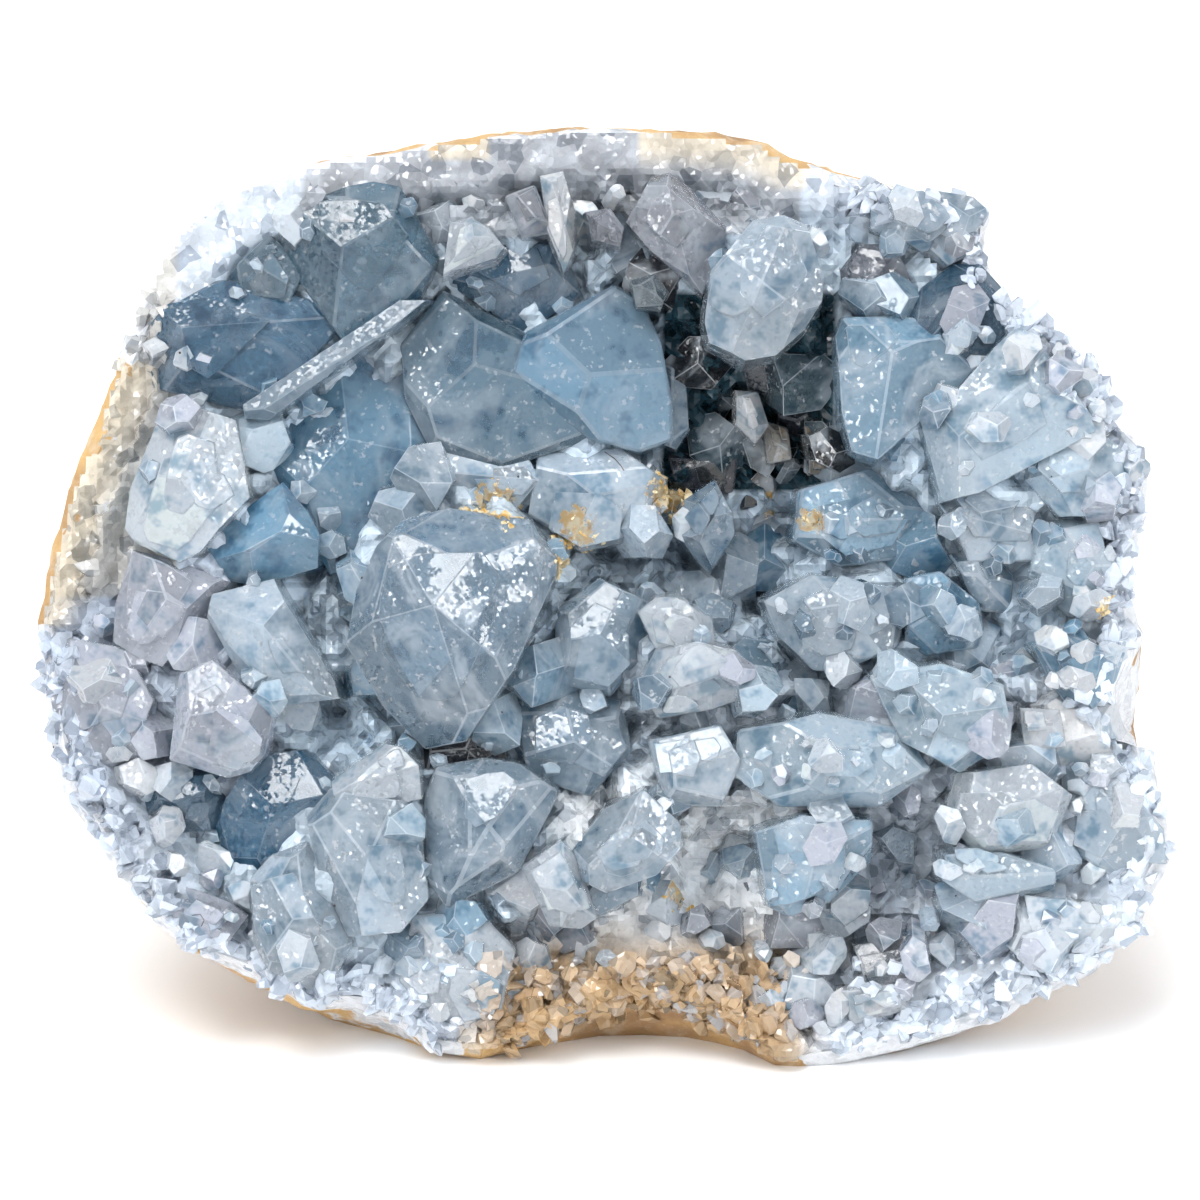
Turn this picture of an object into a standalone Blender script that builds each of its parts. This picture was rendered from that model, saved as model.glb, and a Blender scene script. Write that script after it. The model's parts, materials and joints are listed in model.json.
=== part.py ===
# A celestite geode: half of a rock nodule whose hollow is lined with pale blue crystals.
# It stands on a small ground flat and leans back, so that the crystals face -Y and a little up.
#
# Two pieces: the rock wall, a lumpy bowl, and the crust of crystals grown together inside it.
# Both are laid out on the face plane of the hollow, in millimetres: u to the right, v up the
# leaning face and w out of it towards the viewer. One matrix then sets them on the floor.
import math
import random

import bmesh
import bpy
from mathutils import Matrix, Vector, noise

MM = 0.001

# How the nodule stands
FACE_LEAN = math.radians(18)
FACE_HEIGHT_MM = 45.3
FACE_FORWARD_MM = 6.0
CRUST_FLOOR_GAP_MM = 0.9

# The wall
HOLLOW_DEPTH_MM = 18.0
HOLLOW_CENTRE_MM = (1.0, -1.0)
RIM_WIDTH = 0.06
WALL_DEPTH_MM = 43.0
BACK_ROUNDNESS = 2.6
BACK_DROP_MM = 1.0
NOTCH_DEPTH_MM = 15.0
LUMP_SPACING_MM = 15.0
LUMP_HEIGHT_MM = 2.8
PIT_SPACING_MM = 6.0
PIT_DEPTH_MM = 0.7
BACK_RING_DEPTHS_MM = (6.5, 12.5, 19, 26, 32.5, 38.5)
EDGE_COVER_MM = 0.3

# The crust
CRUST_THICKNESS_MM = 2.6
WALL_GAP_MM = 0.35
FRONT_RINGS = 5
COLLAR = [(1.12, 9), (1.3, 16), (1.4, 24), (1.4, 32), (1.4, 40), (1.4, 48)]
SIGHT_DISTANCE_MM = 400.0
SIDE_FLARE = math.radians(3)
BEVEL_CHANCE = 0.28
BEVEL_RANGE = (math.radians(38), math.radians(66))
LEAST_CORNER_MM2 = 1.0
FLAT_WITHIN = math.radians(2)
ROOT_DEPTH_MM = 4.5
FILL_SPACING_MM = 6.6
FILL_LENGTH_MM = (3.6, 6.0)
FILL_WIDTH_MM = (1.7, 2.9)
GRAIN_LENGTH_MM = (1.6, 2.9)
GRAIN_WIDTH_MM = (1.5, 2.5)
PRISM_ANGLE = math.radians(38)
CHISEL_ANGLE = math.radians(52)
SEED = 11

# The edge of the nodule seen square on, clockwise from the top, with an arched notch below
OUTLINE_MM = [
    (-4, 47.3), (2, 47.4), (10, 47), (16, 46.1), (19, 44.5), (25, 42.8), (31.2, 41.3), (37.3, 40.4),
    (39.4, 38.5), (38.5, 35), (39.6, 31.2), (42.5, 29), (45.5, 27.6), (48.5, 24.8), (50.6, 21.6),
    (52, 18.2), (54.6, 15.6), (55.4, 13), (54.8, 8), (53.2, 3), (54, -1), (54.2, -3.4), (51.8, -8.5),
    (50.6, -12), (53, -14.4), (55.4, -15), (56.6, -20), (57.6, -26), (55.4, -30.3), (54, -34),
    (50, -37.4), (44, -40.2), (40, -42.4), (34.4, -44.2), (25, -46.4), (20, -47.2), (17.6, -46.8),
    (14, -43.8), (11, -42), (8, -40.7), (4, -40.2), (0, -40.9), (-6, -43.7), (-12, -46.1),
    (-17, -45.4), (-20, -42.8), (-24.5, -41), (-30, -40.8), (-33.5, -38.7), (-40, -36.2),
    (-45, -32.2), (-48.7, -27.8), (-51.7, -23), (-54, -19.8), (-55.4, -14.5), (-56.8, -6.5),
    (-56.6, -2), (-55.7, 2.5), (-53.8, 10), (-50.6, 18.5), (-47.3, 27), (-44.3, 34.4),
    (-40.9, 38.6), (-38, 40.3), (-34, 42.3), (-28, 44), (-17, 45.9), (-10, 46.8),
]

# The stretch of it that is broken and grainy, from the right of the top round to the left side
ROUGH_EDGE = slice(6, 58)

# Each large crystal: how high its widest section lies over the face plane and how far its tip
# rises over that, then where the tip is, its outline seen square on, and its end faces as
# (direction they face, slope) in degrees.
CRYSTALS = {
    "left_block": (-1, 3.2, (-41.5, 27), [
        (-46, 27.8), (-43.7, 31.9), (-36.3, 32), (-27.1, 29.6), (-25.6, 27.5), (-32.7, 19.1),
        (-35.5, 18.9), (-44.7, 21.2)], [(200, 38), (-18, 9), (80, 30)]),
    "pale_left": (1.5, 3, (-41.5, 12), [
        (-43.7, 19.2), (-41.6, 19.7), (-36.5, 18), (-35.1, 10.3), (-39.8, 4.9), (-42.1, 3.8),
        (-46.5, 5.7), (-47.5, 7.2), (-47, 11.1)], [(80, 17), (262, 20), (10, 30)]),
    "upper_left_mass": (-0.5, 3.6, (-25.5, 35), [
        (-32.8, 38.5), (-31.5, 41), (-25.5, 42.5), (-20, 41.5), (-16, 34.2), (-18, 30),
        (-21.5, 26.5), (-25.5, 25.5), (-31, 33)], [(120, 22), (-60, 18), (195, 34)]),
    "diagonal_prism": (1.2, 1.3, (-26.5, 23.6), [
        (-35.7, 19.5), (-20, 30), (-17.2, 30), (-20, 27.6), (-33, 18), (-35.5, 18.2)],
        [(122, 24), (-56, 24)]),
    "left_pane": (-4, 2.6, (-25, 16), [
        (-35, 17), (-30, 20.5), (-23, 25.5), (-20, 25), (-15.5, 12), (-16, 8.5), (-23, 4),
        (-27, 2.5), (-29, 6)], [(-62, 12), (150, 18), (50, 16)]),
    "central_pane": (-1.6, 2.2, (-1, 22.4), [
        (-9, 22), (-7.5, 26.8), (-2.5, 29.5), (1.4, 31.6), (4.2, 30), (6.2, 25.5), (7.2, 20),
        (7.2, 16), (4, 14.8), (-1, 16)], [(60, 10), (215, 12), (-62, 14)]),
    "central_step": (-2.6, 2.2, (-12.5, 23.4), [
        (-20, 25.5), (-15.7, 31), (-7.5, 26.8), (-2.5, 20), (-1, 16), (-10, 13), (-17, 15),
        (-19.5, 20)], [(-80, 9), (150, 15), (50, 9)]),
    "dark_step": (-3.6, 1.4, (-9, 32.4), [
        (-16, 32), (-10, 35.5), (-4, 36), (-1.8, 30.6), (-7.5, 26.6)], [(-80, 22), (110, 24)]),
    "narrow_side": (-4.6, 1.2, (7, 20), [
        (6, 24), (8.5, 23.4), (8.9, 17), (7.6, 15), (6, 15.6)], [(0, 28), (180, 10)]),
    "pale_tip": (3, 1.6, (-12.6, 36.2), [
        (-15.7, 32.6), (-15, 37.8), (-12.9, 38.3), (-11.1, 37.2), (-9.6, 35.3), (-10.4, 34.2)],
        [(-85, 26), (70, 12), (170, 30)]),
    "grey_chip": (1, 1.6, (-7, 38.8), [
        (-9.6, 40.3), (-6.5, 41.5), (-4.5, 36.7), (-7.8, 36.2)], [(40, 24), (220, 24)]),
    "white_prism": (1.6, 1.7, (-4, 39), [
        (-6, 42.4), (-3.7, 42.9), (-2.5, 39), (-2.7, 35), (-3.6, 32.7), (-5.3, 37)],
        [(10, 30), (188, 30), (90, 12)]),
    "grey_snout": (2.4, 1.6, (0.4, 37.6), [
        (-1.5, 38.8), (1, 39.2), (2.4, 37.2), (2, 35.3), (-0.8, 36)], [(80, 32), (-70, 30)]),
    "smoky_thumb": (1.8, 3.4, (7.2, 38.2), [
        (5.1, 42.3), (7.4, 42.9), (8.9, 41.3), (12.2, 38.8), (12.6, 35.7), (10.2, 30.6),
        (8.7, 32), (5.1, 34.9), (2.6, 37.8)], [(150, 28), (-35, 26), (60, 22)]),
    "overhang": (5, 3.8, (16, 31.5), [
        (13.3, 35.7), (15.3, 38), (18.4, 38.5), (20.7, 37.5), (22.4, 32.1), (22.2, 29.8),
        (20.4, 27), (17.6, 24.5), (14.5, 24), (11, 25.8), (10.5, 27.8), (11, 32.9)],
        [(112, 18), (-82, 30), (4, 27), (205, 34)]),
    "dark_bead": (1.6, 1.3, (4.6, 31), [
        (3, 32), (5.5, 32.6), (6.9, 30.8), (6, 28.8), (3.6, 29.2)], [(60, 30), (240, 30)]),
    "crackled_face": (-1, 1.8, (27, 32), [
        (24, 33), (26, 35.6), (29, 35.6), (31.4, 32), (30.5, 28.4), (26, 28.2), (24.3, 30)],
        [(110, 22), (-20, 18), (220, 26)]),
    "top_right": (1, 2.8, (31, 38.6), [
        (27.7, 41.8), (31.2, 41.6), (34.8, 39.2), (36.1, 37.5), (34.5, 35.3), (32.2, 34.8),
        (27.1, 37), (26.9, 39.8)], [(60, 18), (-60, 22), (190, 30)]),
    "nose": (-0.5, 3.2, (36.6, 38), [
        (31.2, 41.3), (37.3, 40.7), (39.8, 39), (39.8, 37.5), (37.9, 34.8), (36.3, 33.7),
        (33.8, 32.7), (32, 34.7)], [(80, 20), (-40, 30), (205, 18)]),
    "blade": (1, 3.4, (34.4, 30), [
        (29.9, 28.1), (32.2, 31.3), (35.3, 33.6), (38.4, 33.9), (40.2, 31.6), (41.2, 27.3),
        (39.4, 25), (36.3, 21.7)], [(138, 40), (-14, 16), (60, 22)]),
    "tall_block": (2.2, 3.2, (29, 24.6), [
        (24.3, 28.3), (30.2, 28.4), (34.3, 27.7), (37.8, 23.5), (35.3, 20.6), (27.7, 13.9),
        (25.1, 14.8), (24.1, 18.6), (23.5, 26.3)], [(92, 13), (-48, 15), (200, 20)]),
    "right_big": (3, 4.2, (42.5, 21.6), [
        (32.2, 17.3), (35.8, 21.4), (39.4, 25.4), (42.7, 28.6), (45.7, 27.7), (48.3, 25.5),
        (50.8, 22.2), (52.1, 18.2), (45.5, 14.6), (37.8, 10.6), (34.3, 9.8)],
        [(138, 26), (-70, 16), (36, 22)]),
    "sparkle_block": (1.6, 2.8, (48.4, 13), [
        (43, 16), (46, 18), (49.5, 18), (53, 15), (53.6, 11), (51, 8.3), (46, 8.3), (42.5, 12)],
        [(100, 16), (-70, 20), (10, 24)]),
    "right_edge": (-0.4, 2.4, (53.2, 14.2), [
        (48.8, 18.3), (52.7, 17.4), (55.8, 14.5), (56.2, 12.2), (55, 9.6), (51, 12)],
        [(50, 24), (-40, 24), (180, 16)]),
    "teal_face": (-6, 2, (18, 24), [
        (13.8, 24.2), (22.7, 28.1), (24.2, 22.5), (22.4, 20.5), (18.4, 20), (14.8, 21)],
        [(-96, 24), (80, 20)]),
    "teal_low": (-8.5, 2.4, (20.6, 18.4), [
        (17.5, 21), (24.2, 21), (24, 16.5), (20, 15.6), (17.7, 17)], [(-60, 28), (120, 28)]),
    "pocket_sliver": (-4, 1.8, (14.8, 18.6), [
        (13.5, 21), (15.8, 20.8), (16.9, 17.5), (15.5, 15.6), (13.6, 17.5)], [(20, 34), (200, 26)]),
    "tan_chip": (-6, 1.6, (17.6, 15.6), [
        (16.2, 18), (18.8, 17.2), (19.2, 14), (16.8, 13.6)], [(60, 26), (240, 26)]),
    "tan_shelf": (-6.5, 2, (22.4, 15), [
        (20.3, 17.4), (24.6, 17), (24.6, 12.4), (20.9, 12.6)], [(80, 22), (-60, 26)]),
    "pocket_floor": (-10, 2.2, (10, 13.4), [
        (6.3, 16), (14, 15.8), (13.4, 10.6), (7.6, 10.4)], [(90, 20), (-60, 22)]),
    "grey_point": (-3.4, 3.4, (10.8, 8.2), [
        (11.5, 12), (13.2, 8.8), (13.5, 6.5), (11, 2.6), (9.4, 4.2), (7.2, 7.5), (8.4, 10)],
        [(70, 26), (-50, 30), (190, 32)]),
    "pale_upper": (2, 2.2, (7.4, -2), [
        (3.8, -1.2), (5.6, 0.3), (7.9, 0.3), (11.2, -1.9), (11.5, -4.5), (9, -6.2), (5.6, -5)],
        [(100, 18), (-60, 24), (200, 24)]),
    "pale_lower": (2.2, 2.8, (8.6, -7), [
        (4.1, -7.8), (5.6, -4.8), (10, -4), (13.5, -5), (15.8, -7.6), (16.3, -10.1), (11, -11),
        (6.4, -12.6), (4.2, -9.6)], [(94, 14), (-66, 18), (180, 26)]),
    "middle_block": (-1, 3.2, (24, -0.4), [
        (16.4, -0.1), (21.2, 2.6), (30.8, 1.2), (30.5, -1.9), (29.8, -4.7), (24, -7.2),
        (21.2, -7), (17.7, -3.5)], [(96, 20), (-78, 16), (0, 22)]),
    "blue_block": (-1.4, 2.8, (34, -0.8), [
        (30.4, 2.2), (33.9, 3), (37.9, -0.2), (38.4, -3), (37.8, -4.8), (32.6, -5.6),
        (30.4, -4.2)], [(110, 18), (-50, 22), (10, 30)]),
    "grey_arch": (-2, 2.4, (38, 2.8), [
        (34.8, 4.6), (39, 5), (41.4, 2.5), (41, -1.4), (37.6, -1)], [(90, 24), (-20, 26)]),
    "right_pane": (1, 2.4, (48.6, -5.8), [
        (43.3, -4.7), (48.1, -2.2), (53.2, -4), (54.4, -5), (52, -8.3), (50.7, -12),
        (48.1, -12.3), (45.2, -8.5)], [(100, 14), (-60, 16), (190, 20)]),
    "ribbed_chip": (2, 1.3, (44.2, -12.6), [
        (42, -10.8), (46, -11), (46.7, -14.7), (42.5, -15.2)], [(80, 26), (-80, 26)]),
    "mid_blue": (-1, 3.4, (-32, 7.2), [
        (-39.4, 5.4), (-34.7, 9.7), (-31.7, 11.8), (-29.2, 8.8), (-27.9, 6.5), (-28.2, 3.2),
        (-34.5, 1.4), (-37, 1.9)], [(135, 34), (-100, 18), (20, 24)]),
    "lavender": (-0.4, 2.6, (-43, 0), [
        (-46.7, 5), (-42.1, 3.9), (-37, 1.8), (-39.1, -1.4), (-43.7, -6.7), (-45.9, -5.9),
        (-48.7, -4.2), (-48.5, -0.4)], [(60, 16), (-110, 18), (180, 28)]),
    "clear_rimmed": (1, 3.2, (-33.4, -2.6), [
        (-39.3, -1.7), (-38.8, 0.6), (-30.7, 2.6), (-28.7, -0.4), (-26.6, -8.1), (-25.6, -9.8),
        (-29.9, -10.4), (-33.9, -10.8), (-36, -7.6)], [(100, 14), (-70, 16), (205, 30), (10, 30)]),
    "pale_wing": (2, 3.2, (-38, -11), [
        (-42.1, -7.4), (-38.1, -5.6), (-35.3, -8.6), (-32.5, -10.9), (-33.5, -15.5),
        (-35, -17.2), (-37.3, -17.8), (-43.1, -16)], [(110, 20), (-90, 20), (10, 20)]),
    "dome": (2.6, 6.4, (-16.4, -0.5), [
        (-25.4, -4.5), (-24.4, 1), (-22.3, 5.5), (-19.8, 8), (-15.2, 9.2), (-7, 8),
        (-4.3, 4.2), (-4.5, -1.4), (-8.4, -7), (-11.1, -13.4), (-13.7, -14.2), (-17.5, -14.9),
        (-21.6, -10.8)], [(96, 26), (172, 34), (-86, 20), (14, 24), (226, 36)]),
    "pale_knuckle": (2, 2.2, (-21.6, -17.4), [
        (-26.9, -18.2), (-21.6, -14.4), (-19.8, -14.6), (-17.9, -16.4), (-17.7, -19.9),
        (-22.3, -20.9), (-26.4, -20.4)], [(110, 24), (-80, 18)]),
    "lower_left_clear": (1.8, 3.8, (-23, -25.6), [
        (-29.4, -21.7), (-26.9, -18.8), (-18.7, -20), (-17.7, -24.3), (-17.1, -29.9),
        (-19.8, -33.2), (-25.2, -33.7), (-28.2, -27.3)], [(80, 14), (-84, 16), (200, 26), (0, 30)]),
    "round_low": (1.2, 4.4, (-11, -22.4), [
        (-17.6, -19.6), (-16.4, -16.6), (-11.6, -15.8), (-8.1, -16.3), (-4.4, -18.8),
        (-1.7, -22.8), (-3.2, -24.7), (-8.1, -27.2), (-10.1, -31.1), (-14.9, -31.4),
        (-17.4, -27.9)], [(95, 22), (-85, 20), (0, 26), (182, 28)]),
    "pale_low": (1, 2.8, (-3.4, -28.8), [
        (-7.9, -26.6), (-3, -23.3), (-2.2, -25.8), (0.8, -29.1), (0.5, -31.3), (-1.9, -32.9),
        (-5.1, -32.6)], [(80, 20), (-100, 24), (0, 24)]),
    "low_centre": (1, 3.2, (3, -23.4), [
        (-2.7, -24.9), (0.6, -20.8), (4.4, -18.7), (8, -22.2), (8.2, -24.8), (5.7, -27.5),
        (0.6, -29.3), (-2, -28)], [(120, 22), (-74, 20), (20, 26)]),
    "dark_left": (-3, 2.2, (-41, -19.6), [
        (-43.7, -16.2), (-38.1, -16.4), (-37.1, -17.9), (-38.1, -23), (-41.9, -23.3),
        (-45.6, -22), (-45.8, -19.7)], [(100, 20), (-60, 20)]),
    "deep_blue_low": (-2.4, 3.2, (-32.4, -20.4), [
        (-38, -20.7), (-34.5, -15.4), (-29.4, -14.9), (-26.6, -17.7), (-29.2, -24.7),
        (-35.5, -28.1), (-37.5, -26.6), (-38.4, -22.8)], [(92, 22), (-64, 16), (190, 24)]),
    "pale_bottom_left": (1, 3.4, (-30.4, -31.6), [
        (-35, -27.9), (-33, -25.6), (-29.4, -24.1), (-28, -26.3), (-24.6, -34.2), (-26.8, -38.3),
        (-29.4, -39.5), (-32.6, -38.8), (-34.7, -34.2)], [(90, 16), (-80, 22), (180, 26)]),
    "pale_blob": (0, 2.4, (-40.4, -31.4), [
        (-44.9, -30.9), (-42.1, -28.2), (-37, -30.2), (-35.3, -31.7), (-37, -34.3),
        (-42.7, -34.9), (-45.2, -32.5)], [(70, 20), (-100, 22)]),
    "left_low_slab": (-1.6, 2.4, (-49.4, -10.6), [
        (-53.5, -3.6), (-47.3, -4.8), (-44.3, -10), (-44.8, -16), (-51, -17.2), (-55.4, -11)],
        [(60, 14), (-100, 16), (190, 22)]),
    "blue_bowl": (1, 3.4, (21.4, -25.4), [
        (15.5, -23.2), (20, -21.3), (27.2, -21.8), (27.2, -26), (23, -30.2), (19, -31.7),
        (16.8, -30.7)], [(100, 14), (-50, 20), (190, 28)]),
    "low_shoulder": (2.2, 3.4, (23, -15.6), [
        (13.8, -13), (22, -11.3), (30.2, -12.8), (33.2, -17), (28, -20.7), (18, -20.7),
        (13.3, -17.5)], [(96, 16), (-84, 18), (0, 16), (180, 20)]),
    "right_shoulder": (2, 3.2, (34, -11.4), [
        (26.8, -7.5), (34, -6.2), (40.2, -8.3), (41.2, -14), (36, -17.3), (30, -14.2)],
        [(84, 16), (-70, 18), (200, 22)]),
    "right_low_pale": (1, 3, (40.4, -20.6), [
        (35.6, -17.3), (43, -16.2), (47.3, -19.5), (45.2, -24.7), (38, -25.7), (34.3, -22)],
        [(100, 18), (-60, 20), (180, 18)]),
    "right_low_block": (0.4, 2.6, (39.6, -27.4), [
        (34.3, -23.2), (40, -25), (45.3, -24.8), (45.5, -29), (38, -30.6), (34, -28)],
        [(80, 16), (-80, 24)]),
    "right_corner": (-1, 3, (52, -22), [
        (46, -16.2), (53, -17.2), (57, -22), (57.4, -27), (52, -28.3), (46.4, -24.7)],
        [(70, 18), (-60, 22), (180, 20)]),
    "centre_foot": (1, 2.8, (9.4, -16.4), [
        (4.8, -14), (12, -12.3), (14.2, -16), (12.2, -20.7), (6.4, -20.4)],
        [(110, 22), (-60, 20)]),
    "grey_low_face": (-1, 1.8, (29, -36), [
        (25.3, -34.5), (31, -33.3), (33.2, -37), (30, -39), (26.3, -38.2)], [(-60, 18), (110, 22)]),
    "white_low_slab": (-0.6, 1.8, (27.6, -40), [
        (23.8, -39), (30.6, -37.8), (30.8, -41), (25, -42.7)], [(60, 18), (240, 24)]),
    "centre_grey": (-2, 3.2, (0, -3.4), [
        (-4.4, -1), (0, 2.2), (5.2, -0.3), (4.2, -6), (1, -9.7), (-4.7, -8.2)],
        [(100, 20), (-80, 18), (10, 24)]),
    "centre_fan": (-3, 3.2, (-2.6, -14), [
        (-8.9, -10.5), (-3, -8.8), (2.2, -10), (3.2, -15), (-1, -19.7), (-7.2, -17.7)],
        [(40, 20), (-110, 24), (160, 18)]),
    "right_centre": (-4, 2.8, (26, 8), [
        (19.8, 11), (27, 13.2), (33.2, 9), (32.2, 4.3), (24, 3.3), (19.3, 6)],
        [(80, 16), (-80, 18), (180, 20)]),
    "centre_druse": (-3.2, 2.4, (-0.5, 10.4), [
        (-6.2, 14.7), (2, 15.2), (6.7, 12), (5.2, 6.3), (-2, 4.8), (-7.2, 8.5)],
        [(90, 14), (-70, 16), (200, 16)]),
    "under_pane": (-3.8, 1.8, (-11.4, 12.4), [
        (-16.2, 15), (-8, 15.7), (-5.8, 12), (-9, 8.3), (-15.2, 9.3)], [(80, 16), (-90, 16)]),
    "right_bars": (-1, 2.2, (38.4, 7.8), [
        (33.8, 9.7), (39, 11.8), (44.2, 9), (43.2, 3.8), (36.8, 3.8)], [(60, 18), (-90, 20)]),
    "right_mass": (0, 2.8, (49, 3.4), [
        (43.8, 7.7), (51, 8.7), (54.4, 4), (53, -1.2), (47, -1.8), (42.8, 2.4)],
        [(70, 16), (-70, 18), (190, 20)]),
    "bottom_left_foot": (-0.6, 3, (-14, -37), [
        (-18.7, -31.3), (-12, -31.2), (-8.4, -35), (-10, -42), (-16, -43.2), (-20.2, -38)],
        [(80, 18), (-90, 24), (180, 20)]),
    "right_bottom": (-1, 2.8, (47, -32.6), [
        (40.8, -28.3), (49, -28.3), (54.2, -31), (52, -36), (44, -37.8), (39.8, -34)],
        [(80, 18), (-80, 24)]),
    "rim_blue": (-2, 2.2, (-33.4, 32.8), [
        (-37.2, 32.5), (-33, 36.7), (-29.3, 33), (-31, 29.3), (-36.2, 29.8)], [(60, 20), (-120, 20)]),
    "shadow_wall": (-8, 2.4, (8.8, 27.4), [
        (4.8, 30.4), (10.4, 30.4), (12.6, 25.3), (9, 23.2), (6, 25)], [(-70, 26), (110, 22)]),
}

random.seed(SEED)
for old in list(bpy.data.objects):
    bpy.data.objects.remove(old, do_unlink=True)

face_to_world = Matrix((
    (1, 0, 0, 0),
    (0, math.sin(FACE_LEAN), -math.cos(FACE_LEAN), -FACE_FORWARD_MM),
    (0, math.cos(FACE_LEAN), math.sin(FACE_LEAN), FACE_HEIGHT_MM),
    (0, 0, 0, 1),
))
set_down = Matrix.Scale(MM, 4) @ face_to_world
centre = Vector(HOLLOW_CENTRE_MM)


def material(name, colour, roughness, metallic=0.0):
    made = bpy.data.materials.new(name)
    made.use_nodes = True
    shader = made.node_tree.nodes["Principled BSDF"]
    shader.inputs["Base Color"].default_value = (*colour, 1.0)
    shader.inputs["Roughness"].default_value = roughness
    shader.inputs["Metallic"].default_value = metallic
    return made


def mesh_object(name, bm, made):
    bmesh.ops.recalc_face_normals(bm, faces=bm.faces)
    mesh = bpy.data.meshes.new(name)
    bm.to_mesh(mesh)
    bm.free()
    mesh.materials.append(made)
    obj = bpy.data.objects.new(name, mesh)
    bpy.context.scene.collection.objects.link(obj)
    return obj


def share_of_reach(u, v):
    """How far a point lies from the hollow's centre to the edge: 0 at the centre, 1 at the edge."""
    ray = Vector((u, v)) - centre
    if ray.length < 1e-6:
        return 0.0
    for a, b in zip(OUTLINE_MM, OUTLINE_MM[1:] + OUTLINE_MM[:1]):
        start = Vector(a) - centre
        side = Vector(b) - Vector(a)
        across = ray.x * side.y - ray.y * side.x
        if abs(across) < 1e-9:
            continue
        reach = (start.x * side.y - start.y * side.x) / across
        along = (start.x * ray.y - start.y * ray.x) / across
        if reach > 0 and 0 <= along <= 1:
            return 1 / reach
    return 1.0


def floor_height(share):
    """Height of the bare hollow over the face plane, by the share of the way to the edge."""
    inside = max(0.0, 1 - (share / (1 - RIM_WIDTH)) ** 2)
    return -HOLLOW_DEPTH_MM * inside ** 0.75 - 0.6


def rough(point, spacing, height, phase):
    return height * noise.noise(Vector(point) / spacing + Vector((phase, 0, 0)))


def closed_rings(rings, first, last):
    """A closed skin over rings of points that all have the same count, capped by two points."""
    bm = bmesh.new()
    rows = [[bm.verts.new(point) for point in ring] for ring in rings]
    ends = [bm.verts.new(first), bm.verts.new(last)]
    count = len(rows[0])
    for i in range(count):
        j = (i + 1) % count
        bm.faces.new((ends[0], rows[0][i], rows[0][j]))
        for near, far in zip(rows, rows[1:]):
            bm.faces.new((near[i], far[i], far[j], near[j]))
        bm.faces.new((ends[1], rows[-1][j], rows[-1][i]))
    bmesh.ops.recalc_face_normals(bm, faces=bm.faces)
    bm.normal_update()
    return bm


def spans_of(reach, neighbours):
    """For each point of the edge, its reach and that of its neighbours on both sides."""
    count = len(reach)
    around = range(-neighbours, neighbours + 1)
    return [[reach[(i + k) % count] for k in around] for i in range(count)]


def smooth_reach():
    """The edge with its notch and small steps evened out, as the back of the nodule has it."""
    reach = [(Vector(point) - centre).length for point in OUTLINE_MM]
    for turn in range(2):
        reach = [0.3 * max(span) + 0.7 * sum(span) / len(span) for span in spans_of(reach, 4)]
    return reach


def broad_reach(reach):
    """The same edge evened further, as the middle of the back has it."""
    for turn in range(3):
        reach = [sum(span) / len(span) for span in spans_of(reach, 6)]
    return reach


def behind_edge(point, ray, depth):
    """The point drawn in where it would show past the upper edge, seen square on."""
    flat = Vector((point.x, point.y)) - centre
    hidden = ray.length * (1 + depth / SIGHT_DISTANCE_MM) - EDGE_COVER_MM
    if ray.y < 0 or flat.length <= hidden:
        return point
    flat = centre + flat * (hidden / flat.length)
    return Vector((flat.x, flat.y, point.z))


def crust_backing():
    """The wall's front grown by the gap, with a collar that slopes away under the edge crystals."""
    bm = wall_shape()
    count = len(OUTLINE_MM)
    for vert in bm.verts:
        vert.co += vert.normal * WALL_GAP_MM
    bm.verts.ensure_lookup_table()
    for row, (share, depth) in enumerate(COLLAR, FRONT_RINGS):
        for i, point in enumerate(OUTLINE_MM):
            flat = centre + (Vector(point) - centre) * share
            bm.verts[row * count + i].co = (flat.x, flat.y, -depth)
    bm.verts[-1].co.z = -COLLAR[-1][1] - 5
    return bm


def wall_shape():
    """The bowl: hollow, rim and lumpy back, from the middle of the hollow round to the back."""
    rays = [Vector(point) - centre for point in OUTLINE_MM]
    evened = smooth_reach()
    broad = broad_reach(evened)
    rings = []
    for share in (0.34, 0.64, 0.86):
        ring = []
        for ray in rays:
            flat = centre + ray * share
            depth = floor_height(share)
            depth += rough((flat.x, flat.y, 0), PIT_SPACING_MM, PIT_DEPTH_MM, 3)
            ring.append((flat.x, flat.y, depth))
        rings.append(ring)
    for share, height in ((1 - RIM_WIDTH / 2, -0.7), (1.0, -2.6)):
        ring = []
        for ray in rays:
            flat = centre + ray * share
            lift = rough((flat.x, flat.y, 9), PIT_SPACING_MM, PIT_DEPTH_MM, 5)
            ring.append((flat.x, flat.y, height + lift))
        rings.append(ring)
    for depth in BACK_RING_DEPTHS_MM:
        narrowing = (1 - (depth / WALL_DEPTH_MM) ** BACK_ROUNDNESS) ** (1 / BACK_ROUNDNESS)
        evening = min(1.0, depth / NOTCH_DEPTH_MM) ** 1.5
        inmost = depth / WALL_DEPTH_MM
        ring = []
        for ray, even, wide in zip(rays, evened, broad):
            even += (wide - even) * inmost
            reach = ray.length * (1 - evening) + even * evening
            flat = centre + ray.normalized() * reach * narrowing
            drop = BACK_DROP_MM * inmost ** 2
            point = Vector((flat.x, flat.y - drop, -depth))
            outward = Vector((ray.x, ray.y, -depth)).normalized()
            lump = rough(point, LUMP_SPACING_MM, LUMP_HEIGHT_MM, 0) * evening
            lump += rough(point, PIT_SPACING_MM, PIT_DEPTH_MM, 7) * (1 - inmost)
            ring.append(behind_edge(point + outward * lump, ray, depth))
        rings.append(ring)
    middle = (centre.x, centre.y, floor_height(0))
    back = (centre.x, centre.y - BACK_DROP_MM, -WALL_DEPTH_MM + 0.8)
    return closed_rings(rings, middle, back)


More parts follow.
